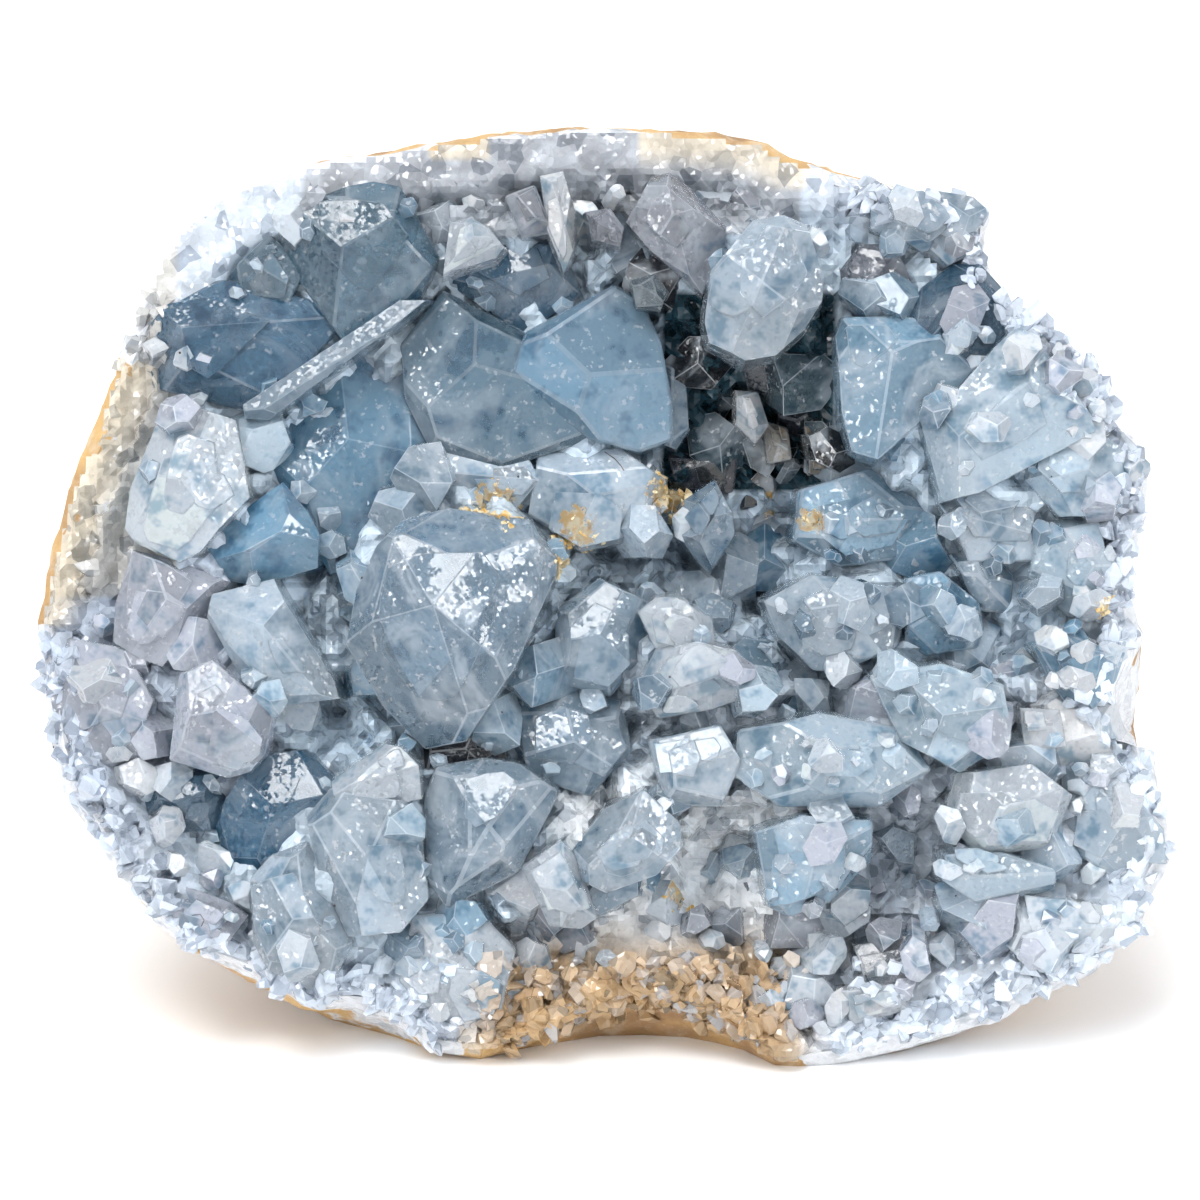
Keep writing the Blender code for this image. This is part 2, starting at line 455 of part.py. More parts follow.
def stand_flat(bm, height):
    """Sets the shape down in the world and grinds off what reaches below the given height."""
    bmesh.ops.transform(bm, matrix=set_down, verts=bm.verts)
    cut = bmesh.ops.bisect_plane(
        bm, geom=bm.verts[:] + bm.edges[:] + bm.faces[:], dist=1e-7,
        plane_co=(0, 0, height), plane_no=(0, 0, -1), clear_outer=True)
    edges = [item for item in cut["geom_cut"] if isinstance(item, bmesh.types.BMEdge)]
    bmesh.ops.holes_fill(bm, edges=edges, sides=0)
    bmesh.ops.triangulate(bm, faces=bm.faces)


def cut_gem(planes, size):
    """The closed shape left of a block when each plane, (point, outward normal), trims it."""
    bm = bmesh.new()
    bmesh.ops.create_cube(bm, size=size)
    bmesh.ops.translate(bm, verts=bm.verts, vec=planes[0][0])
    for point, normal in planes:
        cut = bmesh.ops.bisect_plane(
            bm, geom=bm.verts[:] + bm.edges[:] + bm.faces[:], dist=1e-5,
            plane_co=point, plane_no=normal, clear_outer=True)
        edges = [item for item in cut["geom_cut"] if isinstance(item, bmesh.types.BMEdge)]
        if len(edges) > 2:
            bmesh.ops.contextual_create(bm, geom=edges)
    return bm


def plain_corners(outline):
    """The outline without the corners that hardly change its area, the smallest first."""
    corners = [Vector(point) for point in outline]
    while len(corners) > 4:
        areas = []
        for i, corner in enumerate(corners):
            before = corners[i - 1] - corner
            after = corners[(i + 1) % len(corners)] - corner
            areas.append(abs(before.cross(after)) / 2)
        if min(areas) > LEAST_CORNER_MM2:
            break
        corners.pop(areas.index(min(areas)))
    return corners


def large_crystal(girdle, rise, tip, outline, ends):
    """A crystal whose sides pass through the given outline, with flat end faces at its tip."""
    spread = 1 - girdle / SIGHT_DISTANCE_MM
    corners = [point * spread for point in plain_corners(outline)]
    peak = Vector((tip[0] * spread, tip[1] * spread, girdle + rise))
    root = min(floor_height(share_of_reach(u, v)) for u, v in outline) - ROOT_DEPTH_MM
    root = min(root, girdle - ROOT_DEPTH_MM)
    planes = [(Vector((peak.x, peak.y, root)), Vector((0, 0, -1)))]
    for i, corner in enumerate(corners):
        side = corners[(i + 1) % len(corners)] - corner
        outward = Vector((side.y, -side.x)).normalized()
        if outward.dot(Vector((peak.x, peak.y)) - corner) > 0:
            outward = -outward
        foot = Vector((corner.x, corner.y, girdle))
        planes.append((foot, Vector((*outward, math.tan(SIDE_FLARE))).normalized()))
        if random.random() < BEVEL_CHANCE:
            slope = random.uniform(*BEVEL_RANGE)
            planes.append((foot, Vector((*(outward * math.sin(slope)), math.cos(slope)))))
    for facing, slope in ends:
        facing = math.radians(facing)
        slope = math.radians(slope)
        across = Vector((math.cos(facing), math.sin(facing), 0)) * math.sin(slope)
        planes.append((peak, across + Vector((0, 0, math.cos(slope)))))
    return cut_gem(planes, 160)


def small_crystal(foot, axis, length, width):
    """A lozenge-shaped prism with a chisel tip, standing on its foot along the axis."""
    turn = random.uniform(0, math.pi)
    planes = [(Vector((0, 0, -length * 0.6)), Vector((0, 0, -1)))]
    for angle, share in ((PRISM_ANGLE, 1), (-PRISM_ANGLE, 1), (math.pi / 2, 0.8)):
        for way in (angle, angle + math.pi):
            normal = Vector((math.cos(way + turn), math.sin(way + turn), 0))
            planes.append((normal * width * share * random.uniform(0.8, 1.1), normal))
    tip = Vector((0, 0, length))
    for way in (turn, turn + math.pi, turn + random.choice((0.5, 1.5)) * math.pi):
        slope = CHISEL_ANGLE * random.uniform(0.6, 1.1)
        flat = Vector((math.cos(way), math.sin(way), 0)) * math.sin(slope)
        planes.append((tip, flat + Vector((0, 0, math.cos(slope)))))
    bm = cut_gem(planes, 6 * length)
    lean = Vector((0, 0, 1)).rotation_difference(axis).to_matrix().to_4x4()
    bmesh.ops.transform(bm, matrix=Matrix.Translation(foot) @ lean, verts=bm.verts)
    return bm


def under_large_crystal(u, v):
    """True where a large crystal already stands."""
    for girdle, rise, tip, outline, ends in CRYSTALS.values():
        inside = True
        for i, corner in enumerate(outline):
            following = outline[(i + 1) % len(outline)]
            turn = (following[0] - corner[0]) * (v - corner[1])
            turn -= (following[1] - corner[1]) * (u - corner[0])
            if turn > 0:
                inside = False
                break
        if inside:
            return True
    return False


def fill_places():
    """Seats of the small crystals: a shaken grid in the gaps between the large ones."""
    steps = int(120 / FILL_SPACING_MM)
    for row in range(-steps // 2, steps // 2 + 1):
        for column in range(-steps // 2, steps // 2 + 1):
            u = (column + random.uniform(-0.35, 0.35) + 0.5 * (row % 2)) * FILL_SPACING_MM
            v = (row + random.uniform(-0.35, 0.35)) * FILL_SPACING_MM
            if share_of_reach(u, v) < 0.9 and not under_large_crystal(u, v):
                yield u, v


def crust_shapes():
    """The pieces that grow into the crust: its bed, the large crystals and the small ones."""
    rays = [Vector(point) - centre for point in OUTLINE_MM[::2]]
    rings = []
    for share in (0.3, 0.6, 0.85):
        ring = []
        for ray in rays:
            flat = centre + ray * share
            top = floor_height(share) + CRUST_THICKNESS_MM
            top += rough((flat.x, flat.y, 0), PIT_SPACING_MM, 2 * PIT_DEPTH_MM, 13)
            ring.append((flat.x, flat.y, top))
        rings.append(ring)
    rings.append([(*(centre + ray * 0.92), floor_height(0.92) + 1.2) for ray in rays])
    rings.append([(*(centre + ray * 0.9), floor_height(0.92) - 3) for ray in rays])
    top = (centre.x, centre.y, floor_height(0) + CRUST_THICKNESS_MM)
    bottom = (centre.x, centre.y, floor_height(0) - 6)
    yield closed_rings(rings, top, bottom)
    for crystal in CRYSTALS.values():
        yield large_crystal(*crystal)
    for u, v in fill_places():
        share = share_of_reach(u, v)
        inward = (centre - Vector((u, v))) / 90
        axis = Vector((inward.x + random.uniform(-0.3, 0.3), inward.y + random.uniform(-0.3, 0.3), 1))
        foot = Vector((u, v, floor_height(share) + CRUST_THICKNESS_MM * 0.6))
        length = random.uniform(*FILL_LENGTH_MM)
        yield small_crystal(foot, axis, length, random.uniform(*FILL_WIDTH_MM))
    for point in OUTLINE_MM[ROUGH_EDGE]:
        u, v = centre + (Vector(point) - centre) * random.uniform(0.9, 0.95)
        axis = Vector((random.uniform(-0.5, 0.5), random.uniform(-0.5, 0.5), 1))
        foot = Vector((u, v, -1.4))
        length = random.uniform(*GRAIN_LENGTH_MM)
        yield small_crystal(foot, axis, length, random.uniform(*GRAIN_WIDTH_MM))


def grow_together(base, others, operation):
    """Joins the other shapes to the base, or cuts them from it, and returns the whole."""
    group = bpy.data.collections.new("shapes")
    for other in others:
        group.objects.link(other)
    boolean = base.modifiers.new("grow", "BOOLEAN")
    boolean.operation = operation
    boolean.operand_type = "COLLECTION"
    boolean.collection = group
    boolean.solver = "EXACT"
    evaluated = base.evaluated_get(bpy.context.evaluated_depsgraph_get())
    bm = bmesh.new()
    bm.from_mesh(evaluated.to_mesh())
    evaluated.to_mesh_clear()
    for shape in (base, *others):
        bpy.data.objects.remove(shape, do_unlink=True)
    bpy.data.collections.remove(group)
    return bm


def keep_main_body(bm):
    """Drops crumbs that touch nothing and skins of bubbles sealed inside."""
    bm.verts.ensure_lookup_table()
    unseen = set(bm.verts)
    bodies = []
    while unseen:
        body = set()
        edge = [unseen.pop()]
        while edge:
            vert = edge.pop()
            body.add(vert)
            for link in vert.link_edges:
                other = link.other_vert(vert)
                if other in unseen:
                    unseen.discard(other)
                    edge.append(other)
        bodies.append(body)
    main = max(bodies, key=len)
    bmesh.ops.delete(bm, geom=[v for v in bm.verts if v not in main], context="VERTS")


def build_wall(made):
    bm = wall_shape()
    stand_flat(bm, 0.0)
    return mesh_object("rock_wall", bm, made)


def build_crust(made):
    shapes = []
    for bm in crust_shapes():
        bmesh.ops.transform(bm, matrix=set_down, verts=bm.verts)
        shapes.append(mesh_object("shape", bm, made))
    whole = grow_together(shapes[0], shapes[1:], "UNION")
    backing = crust_backing()
    bmesh.ops.transform(backing, matrix=set_down, verts=backing.verts)
    bmesh.ops.triangulate(backing, faces=backing.faces)
    grown = mesh_object("grown", whole, made)
    bm = grow_together(grown, [mesh_object("backing", backing, made)], "DIFFERENCE")
    keep_main_body(bm)
    bmesh.ops.dissolve_limit(
        bm, angle_limit=FLAT_WITHIN, verts=bm.verts, edges=bm.edges)
    trim = bmesh.ops.bisect_plane(
        bm, geom=bm.verts[:] + bm.edges[:] + bm.faces[:], dist=1e-7,
        plane_co=(0, 0, CRUST_FLOOR_GAP_MM * MM), plane_no=(0, 0, -1), clear_outer=True)
    edges = [item for item in trim["geom_cut"] if isinstance(item, bmesh.types.BMEdge)]
    if edges:
        bmesh.ops.holes_fill(bm, edges=edges, sides=0)
    bmesh.ops.triangulate(bm, faces=bm.faces)
    keep_main_body(bm)
    return mesh_object("crystal_crust", bm, made)


build_wall(material("host_rock", (0.63, 0.52, 0.38), 0.85))
build_crust(material("celestite", (0.45, 0.58, 0.68), 0.12))
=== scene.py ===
import json
import math
import random

import bmesh
import bpy
from mathutils import Matrix, Vector, noise
from mathutils.bvhtree import BVHTree
from mathutils.kdtree import KDTree

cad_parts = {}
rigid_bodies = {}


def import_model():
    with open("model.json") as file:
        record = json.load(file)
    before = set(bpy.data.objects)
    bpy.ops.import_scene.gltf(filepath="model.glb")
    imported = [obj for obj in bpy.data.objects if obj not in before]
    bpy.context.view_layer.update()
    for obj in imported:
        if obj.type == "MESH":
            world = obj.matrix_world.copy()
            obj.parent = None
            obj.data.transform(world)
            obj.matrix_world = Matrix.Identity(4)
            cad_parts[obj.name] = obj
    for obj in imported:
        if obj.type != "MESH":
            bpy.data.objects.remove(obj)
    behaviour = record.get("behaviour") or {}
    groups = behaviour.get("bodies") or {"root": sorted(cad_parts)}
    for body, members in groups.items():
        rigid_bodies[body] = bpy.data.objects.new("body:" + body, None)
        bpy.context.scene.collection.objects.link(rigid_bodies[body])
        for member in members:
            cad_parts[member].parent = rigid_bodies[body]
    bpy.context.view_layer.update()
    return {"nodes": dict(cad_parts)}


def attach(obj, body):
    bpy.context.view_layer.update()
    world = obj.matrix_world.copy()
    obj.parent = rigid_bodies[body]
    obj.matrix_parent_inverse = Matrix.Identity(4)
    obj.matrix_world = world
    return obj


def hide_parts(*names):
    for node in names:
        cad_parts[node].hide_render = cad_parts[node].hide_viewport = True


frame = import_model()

seed = 27
random.seed(seed)

stand = {"lean": 18.0, "height": 45.3, "forward": 6.0, "millimetre": 0.001, "floorGap": 0.0004}
lean = math.radians(stand["lean"])
faceToWorld = Matrix((
    (1, 0, 0, 0),
    (0, math.sin(lean), -math.cos(lean), -stand["forward"]),
    (0, math.cos(lean), math.sin(lean), stand["height"]),
    (0, 0, 0, 1)))
setDown = Matrix.Scale(stand["millimetre"], 4) @ faceToWorld
liftOff = setDown.inverted()
outward = (setDown.to_3x3() @ Vector((0, 0, 1))).normalized()


# building node trees

class Wire:
    # a node's output that can be used in sums
    def __init__(self, graph, socket):
        self.graph = graph
        self.socket = socket

    def sum(self, operation, first, second):
        return self.graph.node("ShaderNodeMath", {"operation": operation}, {0: first, 1: second})

    def __add__(self, other):
        return self.sum("ADD", self, other)

    def __radd__(self, other):
        return self.sum("ADD", other, self)

    def __sub__(self, other):
        return self.sum("SUBTRACT", self, other)

    def __rsub__(self, other):
        return self.sum("SUBTRACT", other, self)

    def __mul__(self, other):
        return self.sum("MULTIPLY", self, other)

    def __rmul__(self, other):
        return self.sum("MULTIPLY", other, self)

    def also(self, output):
        # another output of the same node
        return Wire(self.graph, self.socket.node.outputs[output])


class Graph:
    # builds one node tree, shader or geometry
    def __init__(self, tree):
        self.tree = tree

    def node(self, kind, settings=None, inputs=None, output=0):
        made = self.tree.nodes.new(kind)
        for name, value in (settings or {}).items():
            setattr(made, name, value)
        for name, value in (inputs or {}).items():
            if isinstance(value, Wire):
                self.tree.links.new(value.socket, made.inputs[name])
            else:
                made.inputs[name].default_value = value
        return Wire(self, made.outputs[output]) if made.outputs else made

    def attribute(self, name, output="Fac"):
        return self.node("ShaderNodeAttribute", {"attribute_name": name}, output=output)

    def mix(self, first, second, share):
        ends = [
            end if isinstance(end, Wire) or len(end) == 4 else (*end, 1) for end in (first, second)]
        return self.node("ShaderNodeMix", {"data_type": "RGBA"}, {0: share, 6: ends[0], 7: ends[1]}, 2)

    def vector(self, operation, first, second, output=0):
        return self.node("ShaderNodeVectorMath", {"operation": operation}, {
            0: first, 1: second}, output)

    def noise(self, place, scale, detail=2, distortion=0.0, roughness=0.5):
        return self.node("ShaderNodeTexNoise", {}, {
            "Vector": place, "Scale": scale, "Detail": detail, "Distortion": distortion,
            "Roughness": roughness}, "Fac")

    def ease(self, value, low, high, start=0.0, end=1.0):
        return self.node("ShaderNodeMapRange", {"interpolation_type": "SMOOTHSTEP"}, {
            "Value": value, "From Min": low, "From Max": high, "To Min": start, "To Max": end})

    def flakes(self, place, scale):
        # height of a surface broken into flat cells that each lean their own way
        cell = self.node("ShaderNodeTexVoronoi", {}, {"Vector": place, "Scale": scale}, "Color")
        slope = self.vector("SUBTRACT", cell, (0.5, 0.5, 0.5))
        aside = self.vector("SUBTRACT", place, cell.also("Position"))
        return self.vector("DOT_PRODUCT", slope, aside, "Value")

    def bump(self, height, strength):
        return self.node("ShaderNodeBump", {}, {
            "Height": height, "Strength": strength, "Distance": 1.0})


def newMaterial(name):
    made = bpy.data.materials.new(name)
    made.use_nodes = True
    made.node_tree.nodes.clear()
    graph = Graph(made.node_tree)
    place = graph.node("ShaderNodeTexCoord", output="Object")
    return made, graph, place


def finishMaterial(graph, sockets, volume=None):
    surface = graph.node("ShaderNodeBsdfPrincipled", {}, sockets)
    inputs = {"Surface": surface}
    if volume:
        inputs["Volume"] = graph.node("ShaderNodeVolumeAbsorption", {}, volume)
    graph.node("ShaderNodeOutputMaterial", {}, inputs)


# finishes

crystalLooks = {
    # share of light let through, how deep and which colour the stone soaks it up, then how much
    # haze and glint, white broken specks partly painted as glints, and pale rubbed edges partly painted
    # as highlight
    "deep": {"clear": 0.52, "depth": 60, "water": (0.38, 0.66, 0.80),
             "cloud": 0.26, "spark": 0.35, "frayAndGlint": 0.35, "wearAndHighlight": 0.15},
    "blue": {"clear": 0.48, "depth": 18, "water": (0.46, 0.70, 0.84),
             "cloud": 0.50, "spark": 0.60, "frayAndGlint": 0.55, "wearAndHighlight": 0.28},
    "ice": {"clear": 0.55, "depth": 14, "water": (0.52, 0.74, 0.88),
            "cloud": 0.60, "spark": 0.70, "frayAndGlint": 0.60, "wearAndHighlight": 0.35},
    "smoky": {"clear": 0.55, "depth": 50, "water": (0.60, 0.64, 0.70),
              "cloud": 0.40, "spark": 0.80, "frayAndGlint": 0.50, "wearAndHighlight": 0.30},
    "small": {"clear": 0.40, "depth": 8, "water": (0.52, 0.74, 0.88),
              "cloud": 0.50, "spark": 0.60, "frayAndGlint": 0.50, "wearAndHighlight": 0.35}}
crystalPattern = {
    "index": 1.62, "hazeScale": 150, "mottleScale": 280, "fineScale": 1500, "flakeScale": 3000,
    # the white of broken specks is partly a painted glint, and the pale of rubbed edges partly a
    # painted highlight
    "deeper": (0.34, 0.50, 0.60), "milky": (0.72, 0.79, 0.86), "frayedAndGlinting": (0.93, 0.95, 0.98),
    "wornAndHighlit": (0.86, 0.91, 0.96), "paleRust": (0.74, 0.62, 0.38), "deepRust": (0.60, 0.34, 0.05)}
stains = [
    # u, v and reach of each rusty patch on the crystals
    (-10.2, 9.6, 2.9), (-2.2, 7.2, 2.6), (-3.0, 3.0, 2.2), (6.6, 10.4, 2.6), (17.6, 9.6, 2.0),
    (21.4, 8.0, 1.9), (50.0, -0.9, 1.9), (-41.6, -34.6, 1.8), (8.4, -29.4, 2.2)]


def stainMask(graph, place):
    # strongest in the middle of each patch, measured square on to the face
    depth = graph.vector("DOT_PRODUCT", place, tuple(outward), "Value")
    towards = graph.node("ShaderNodeVectorMath", {"operation": "SCALE"}, {
        0: tuple(outward), "Scale": depth})
    flat = graph.vector("SUBTRACT", place, towards)
    mask = None
    for u, v, reach in stains:
        spot = setDown @ Vector((u, v, 0))
        spot -= outward * spot.dot(outward)
        away = graph.vector("DISTANCE", flat, tuple(spot), "Value")
        near = 1 - away * (1 / (reach * stand["millimetre"]))
        mask = near if mask is None else near.sum("MAXIMUM", near, mask)
    return mask


def crystalMaterial(name, look):
    made, graph, place = newMaterial(name)
    pattern = crystalPattern
    tint = graph.attribute("tint", "Color")
    edge = graph.attribute("edge")
    haze = graph.noise(place, pattern["hazeScale"], 3, 1.2, 0.6)
    mottle = graph.noise(place, pattern["mottleScale"], 3, 0.0, 0.65)
    deeper = graph.vector("MULTIPLY", tint, pattern["deeper"])
    varied = graph.mix(tint, deeper, graph.ease(mottle, 0.50, 0.66) * 0.9)
    cloud = graph.ease(haze, 0.46, 0.70) * look["cloud"]
    milky = graph.mix(varied, pattern["milky"], cloud)
    # white specks where the surface is broken, partly painted glints
    fine = graph.noise(place, pattern["fineScale"], 2)
    frayedAndGlinting = graph.ease(fine, 0.60, 0.68) * graph.ease(mottle, 0.56, 0.44) * look["frayAndGlint"]
    specked = graph.mix(milky, pattern["frayedAndGlinting"], frayedAndGlinting)
    # paler chamfered edges: partly abraded edges, partly a painted highlight
    wornAndHighlit = graph.mix(specked, pattern["wornAndHighlit"], edge * look["wearAndHighlight"])
    ragged = (fine - 0.5) * 1.2 + (mottle - 0.5) * 1.6
    rusty = graph.ease(stainMask(graph, place) + ragged, 0.25, 0.60)
    rust = graph.mix(pattern["paleRust"], pattern["deepRust"], graph.ease(fine, 0.40, 0.60))
    broken = graph.ease(mottle, 0.54, 0.42, 0.06, look["spark"])
    finishMaterial(graph, {
        "Base Color": graph.mix(wornAndHighlit, rust, rusty * 0.85),
        "Roughness": cloud * 0.25 + edge * 0.12 + rusty * 0.4 + 0.03,
        "Normal": graph.bump(graph.flakes(place, pattern["flakeScale"]), broken),
        "IOR": pattern["index"], "Transmission Weight": look["clear"],
    }, {"Color": (*look["water"], 1), "Density": look["depth"]})
    return made


sugarLook = {
    "bright": (1.16, 1.17, 1.18), "dull": (0.58, 0.61, 0.65), "rough": 0.10,
    "grainScale": 620, "flakeScale": 1500, "spark": 0.6}


def sugarMaterial(name):
    # sugary celestite: pale intergrown grains that each catch the light
    made, graph, place = newMaterial(name)
    tint = graph.attribute("tint", "Color")
    cell = graph.node("ShaderNodeTexVoronoi", {}, {
        "Vector": place, "Scale": sugarLook["grainScale"]}, "Color")
    shade = graph.node("ShaderNodeSeparateColor", {}, {0: cell})
    bright = graph.vector("MULTIPLY", tint, sugarLook["bright"])
    dull = graph.vector("MULTIPLY", tint, sugarLook["dull"])
    colour = graph.mix(tint, bright, graph.ease(shade, 0.35, 0.9))
    colour = graph.mix(colour, dull, graph.ease(shade.also("Green"), 0.66, 0.95))
    finishMaterial(graph, {
        "Base Color": colour, "Roughness": sugarLook["rough"], "IOR": crystalPattern["index"],
        "Normal": graph.bump(graph.flakes(place, sugarLook["flakeScale"]), sugarLook["spark"])})
    return made


crumbLook = {
    "bright": (0.66, 0.38, 0.07), "pale": (0.80, 0.68, 0.44), "rough": 0.75,
    "patchScale": 700, "gritScale": 2600, "gritHeight": 0.0004, "relief": 0.7}


def crumbMaterial(name):
    # rusty ochre that dusts the stone in a few places
    made, graph, place = newMaterial(name)
    patchy = graph.ease(graph.noise(place, crumbLook["patchScale"], 3), 0.36, 0.56)
    grit = graph.noise(place, crumbLook["gritScale"], 2) * crumbLook["gritHeight"]
    finishMaterial(graph, {
        "Base Color": graph.mix(crumbLook["bright"], crumbLook["pale"], patchy),
        "Roughness": crumbLook["rough"], "Normal": graph.bump(grit, crumbLook["relief"])})
    return made


rockLook = {
    "ochre": (0.58, 0.37, 0.15), "brown": (0.33, 0.19, 0.09), "cream": (0.76, 0.67, 0.53),
    "white": (0.72, 0.73, 0.75), "grey": (0.42, 0.45, 0.49),
    "edgeScale": 320, "mottleScale": 90, "fineScale": 330, "greyScale": 520,
    "flakeScale": 1300, "lumpScale": 520, "lumpHeight": 0.0007, "relief": 0.6}


def rockMaterial(name):
    made, graph, place = newMaterial(name)
    look = rockLook
    ragged = graph.noise(place, look["edgeScale"], 4) - 0.5
    rind = graph.ease(graph.attribute("skin") + ragged * 1.1, 0.42, 0.62)
    mottle = graph.ease(graph.noise(place, look["mottleScale"], 4, 0.8), 0.35, 0.68)
    fine = graph.ease(graph.noise(place, look["fineScale"], 5, 0.0, 0.7), 0.45, 0.72)
    rock = graph.mix(look["ochre"], look["brown"], mottle)
    rock = graph.mix(rock, look["cream"], fine * 0.4)
    greyness = graph.ease(graph.noise(place, look["greyScale"], 2), 0.52, 0.66)
    pale = graph.mix(look["white"], look["grey"], greyness * 0.7)
    lumps = graph.noise(place, look["lumpScale"], 4, 0.3, 0.7) * look["lumpHeight"]
    height = graph.flakes(place, look["flakeScale"]) * (1 - rind) + lumps
    finishMaterial(graph, {
        "Base Color": graph.mix(pale, rock, rind), "Roughness": rind * 0.55 + 0.25, "IOR": 1.5,
        "Normal": graph.bump(height, look["relief"])})
    return made


# shapes

def newPiece(name, bm, finish):
    bmesh.ops.recalc_face_normals(bm, faces=bm.faces)
    mesh = bpy.data.meshes.new(name)
    bm.to_mesh(mesh)
    bm.free()
    mesh.materials.append(finish)
    piece = bpy.data.objects.new(name, mesh)
    bpy.context.scene.collection.objects.link(piece)
    return piece


def declare(piece, node):
    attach(piece, "root")
    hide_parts(node)
    triangles = sum(len(face.vertices) - 2 for face in piece.data.polygons)
    lowest = min(vert.co.z for vert in piece.data.vertices)
    print(f"{piece.name}: {triangles} triangles, lowest {1000 * lowest:.2f} mm")


def trim(bm, point, normal):
    # cuts away what lies beyond a plane and closes the cut
    cut = bmesh.ops.bisect_plane(
        bm, geom=bm.verts[:] + bm.edges[:] + bm.faces[:], dist=1e-5,
        plane_co=point, plane_no=normal, clear_outer=True)
    edges = [item for item in cut["geom_cut"] if isinstance(item, bmesh.types.BMEdge)]
    if len(edges) > 2:
        bmesh.ops.contextual_create(bm, geom=edges)


def cutGem(planes, size):
    # what is left of a block when each plane, a point and an outward normal, has trimmed it
    bm = bmesh.new()
    bmesh.ops.create_cube(bm, size=size)
    bmesh.ops.translate(bm, verts=bm.verts, vec=planes[0][0])
    for point, normal in planes:
        trim(bm, point, normal)
    return bm


def keepOffFloor(bm):
    # cuts a crystal, still in millimetres on the face plane, just above the floor
    under = liftOff @ Vector((0, 0, stand["floorGap"]))
    down = (liftOff.to_3x3() @ Vector((0, 0, -1))).normalized()
    if any((vert.co - under).dot(down) > 0 for vert in bm.verts):
        trim(bm, under, down)
    return bm


# painted light and shade: the range of brightness each facet is given at random, in place of refracted
# light
paintedFacetLight = (0.72, 1.22)


def paint(bm, tint, chamfer):
    # gives each facet a painted brightness of its crystal's colour, light and shade that stands in for
    # refraction, and narrows sharp edges to rubbed facets
    keepOffFloor(bm)
    bmesh.ops.recalc_face_normals(bm, faces=bm.faces)
    tintLayer = bm.faces.layers.float_color.new("tint")
    edgeLayer = bm.faces.layers.float.new("edge")
    for face in bm.faces:
        shade = random.uniform(*paintedFacetLight)
        face[tintLayer] = (*[min(0.98, part * shade) for part in tint], 1)
    wornAndHighlit = bmesh.ops.bevel(
        bm, geom=bm.edges[:], offset=chamfer, segments=1, affect="EDGES", clamp_overlap=True)
    for face in wornAndHighlit["faces"]:
        # chamfers are marked so the material paints them paler, partly rubbed edges and partly a
        # painted highlight
        face[edgeLayer] = 1.0
        face[tintLayer] = (*tint, 1)
    return bm


def growTogether(name, shapes, finish):
    # joins closed crystals into one skin
    parts = []
    for bm in shapes:
        bmesh.ops.transform(bm, matrix=setDown, verts=bm.verts)
        parts.append(newPiece("shape", bm, finish))
    group = bpy.data.collections.new(name)
    for part in parts[1:]:
        group.objects.link(part)
    union = parts[0].modifiers.new("union", "BOOLEAN")
    union.operation = "UNION"
    union.operand_type = "COLLECTION"
    union.collection = group
    union.solver = "MANIFOLD"
    whole = bpy.data.meshes.new_from_object(
        parts[0].evaluated_get(bpy.context.evaluated_depsgraph_get()))
    for part in parts:
        bpy.data.objects.remove(part, do_unlink=True)
    bpy.data.collections.remove(group)
    bm = bmesh.new()
    bm.from_mesh(whole)
    return newPiece(name, bm, finish)


# where things are on the crust

outline = [
    (-4, 47.3), (2, 47.4), (10, 47), (16, 46.1), (19, 44.5), (25, 42.8), (31.2, 41.3), (37.3, 40.4),
    (39.4, 38.5), (38.5, 35), (39.6, 31.2), (42.5, 29), (45.5, 27.6), (48.5, 24.8), (50.6, 21.6),
    (52, 18.2), (54.6, 15.6), (55.4, 13), (54.8, 8), (53.2, 3), (54, -1), (54.2, -3.4), (51.8, -8.5),
    (50.6, -12), (53, -14.4), (55.4, -15), (56.6, -20), (57.6, -26), (55.4, -30.3), (54, -34),
    (50, -37.4), (44, -40.2), (40, -42.4), (34.4, -44.2), (25, -46.4), (20, -47.2), (17.6, -46.8),
    (14, -43.8), (11, -42), (8, -40.7), (4, -40.2), (0, -40.9), (-6, -43.7), (-12, -46.1),
    (-17, -45.4), (-20, -42.8), (-24.5, -41), (-30, -40.8), (-33.5, -38.7), (-40, -36.2),
    (-45, -32.2), (-48.7, -27.8), (-51.7, -23), (-54, -19.8), (-55.4, -14.5), (-56.8, -6.5),
    (-56.6, -2), (-55.7, 2.5), (-53.8, 10), (-50.6, 18.5), (-47.3, 27), (-44.3, 34.4),
    (-40.9, 38.6), (-38, 40.3), (-34, 42.3), (-28, 44), (-17, 45.9), (-10, 46.8)]
hollow = {
    "centre": Vector((1, -1)), "depth": 18.0, "rim": 0.06, "root": 4.5, "curve": 0.75, "bed": 0.6,
    "farthest": 50.0, "lookFrom": 60}
net = {"rows": 50, "columns": 60}
sightDistance = 400.0


def reachAlong(way):
    # how far the edge of the stone lies from the middle of the hollow, in one direction
    ray = Vector((math.cos(way), math.sin(way)))
    for a, b in zip(outline, outline[1:] + outline[:1]):
        start = Vector(a) - hollow["centre"]
        side = Vector(b) - Vector(a)
        across = ray.x * side.y - ray.y * side.x
        if abs(across) > 1e-9:
            reach = (start.x * side.y - start.y * side.x) / across
            along = (start.x * ray.y - start.y * ray.x) / across
            if reach > 0 and 0 <= along <= 1:
                return reach
    return hollow["farthest"]


reaches = [reachAlong(math.radians(degree)) for degree in range(361)]


def shareOfReach(u, v):
    # 0 at the middle of the hollow, 1 at the edge of the stone
    x = u - hollow["centre"].x
    y = v - hollow["centre"].y
    degree = math.degrees(math.atan2(y, x)) % 360
    step = int(degree)
    reach = reaches[step] + (reaches[step + 1] - reaches[step]) * (degree - step)
    return math.hypot(x, y) / reach


def sawnEdge(u, v):
    # the smooth part of the rim, along the upper left and the top
    return v > 30 and u < 24


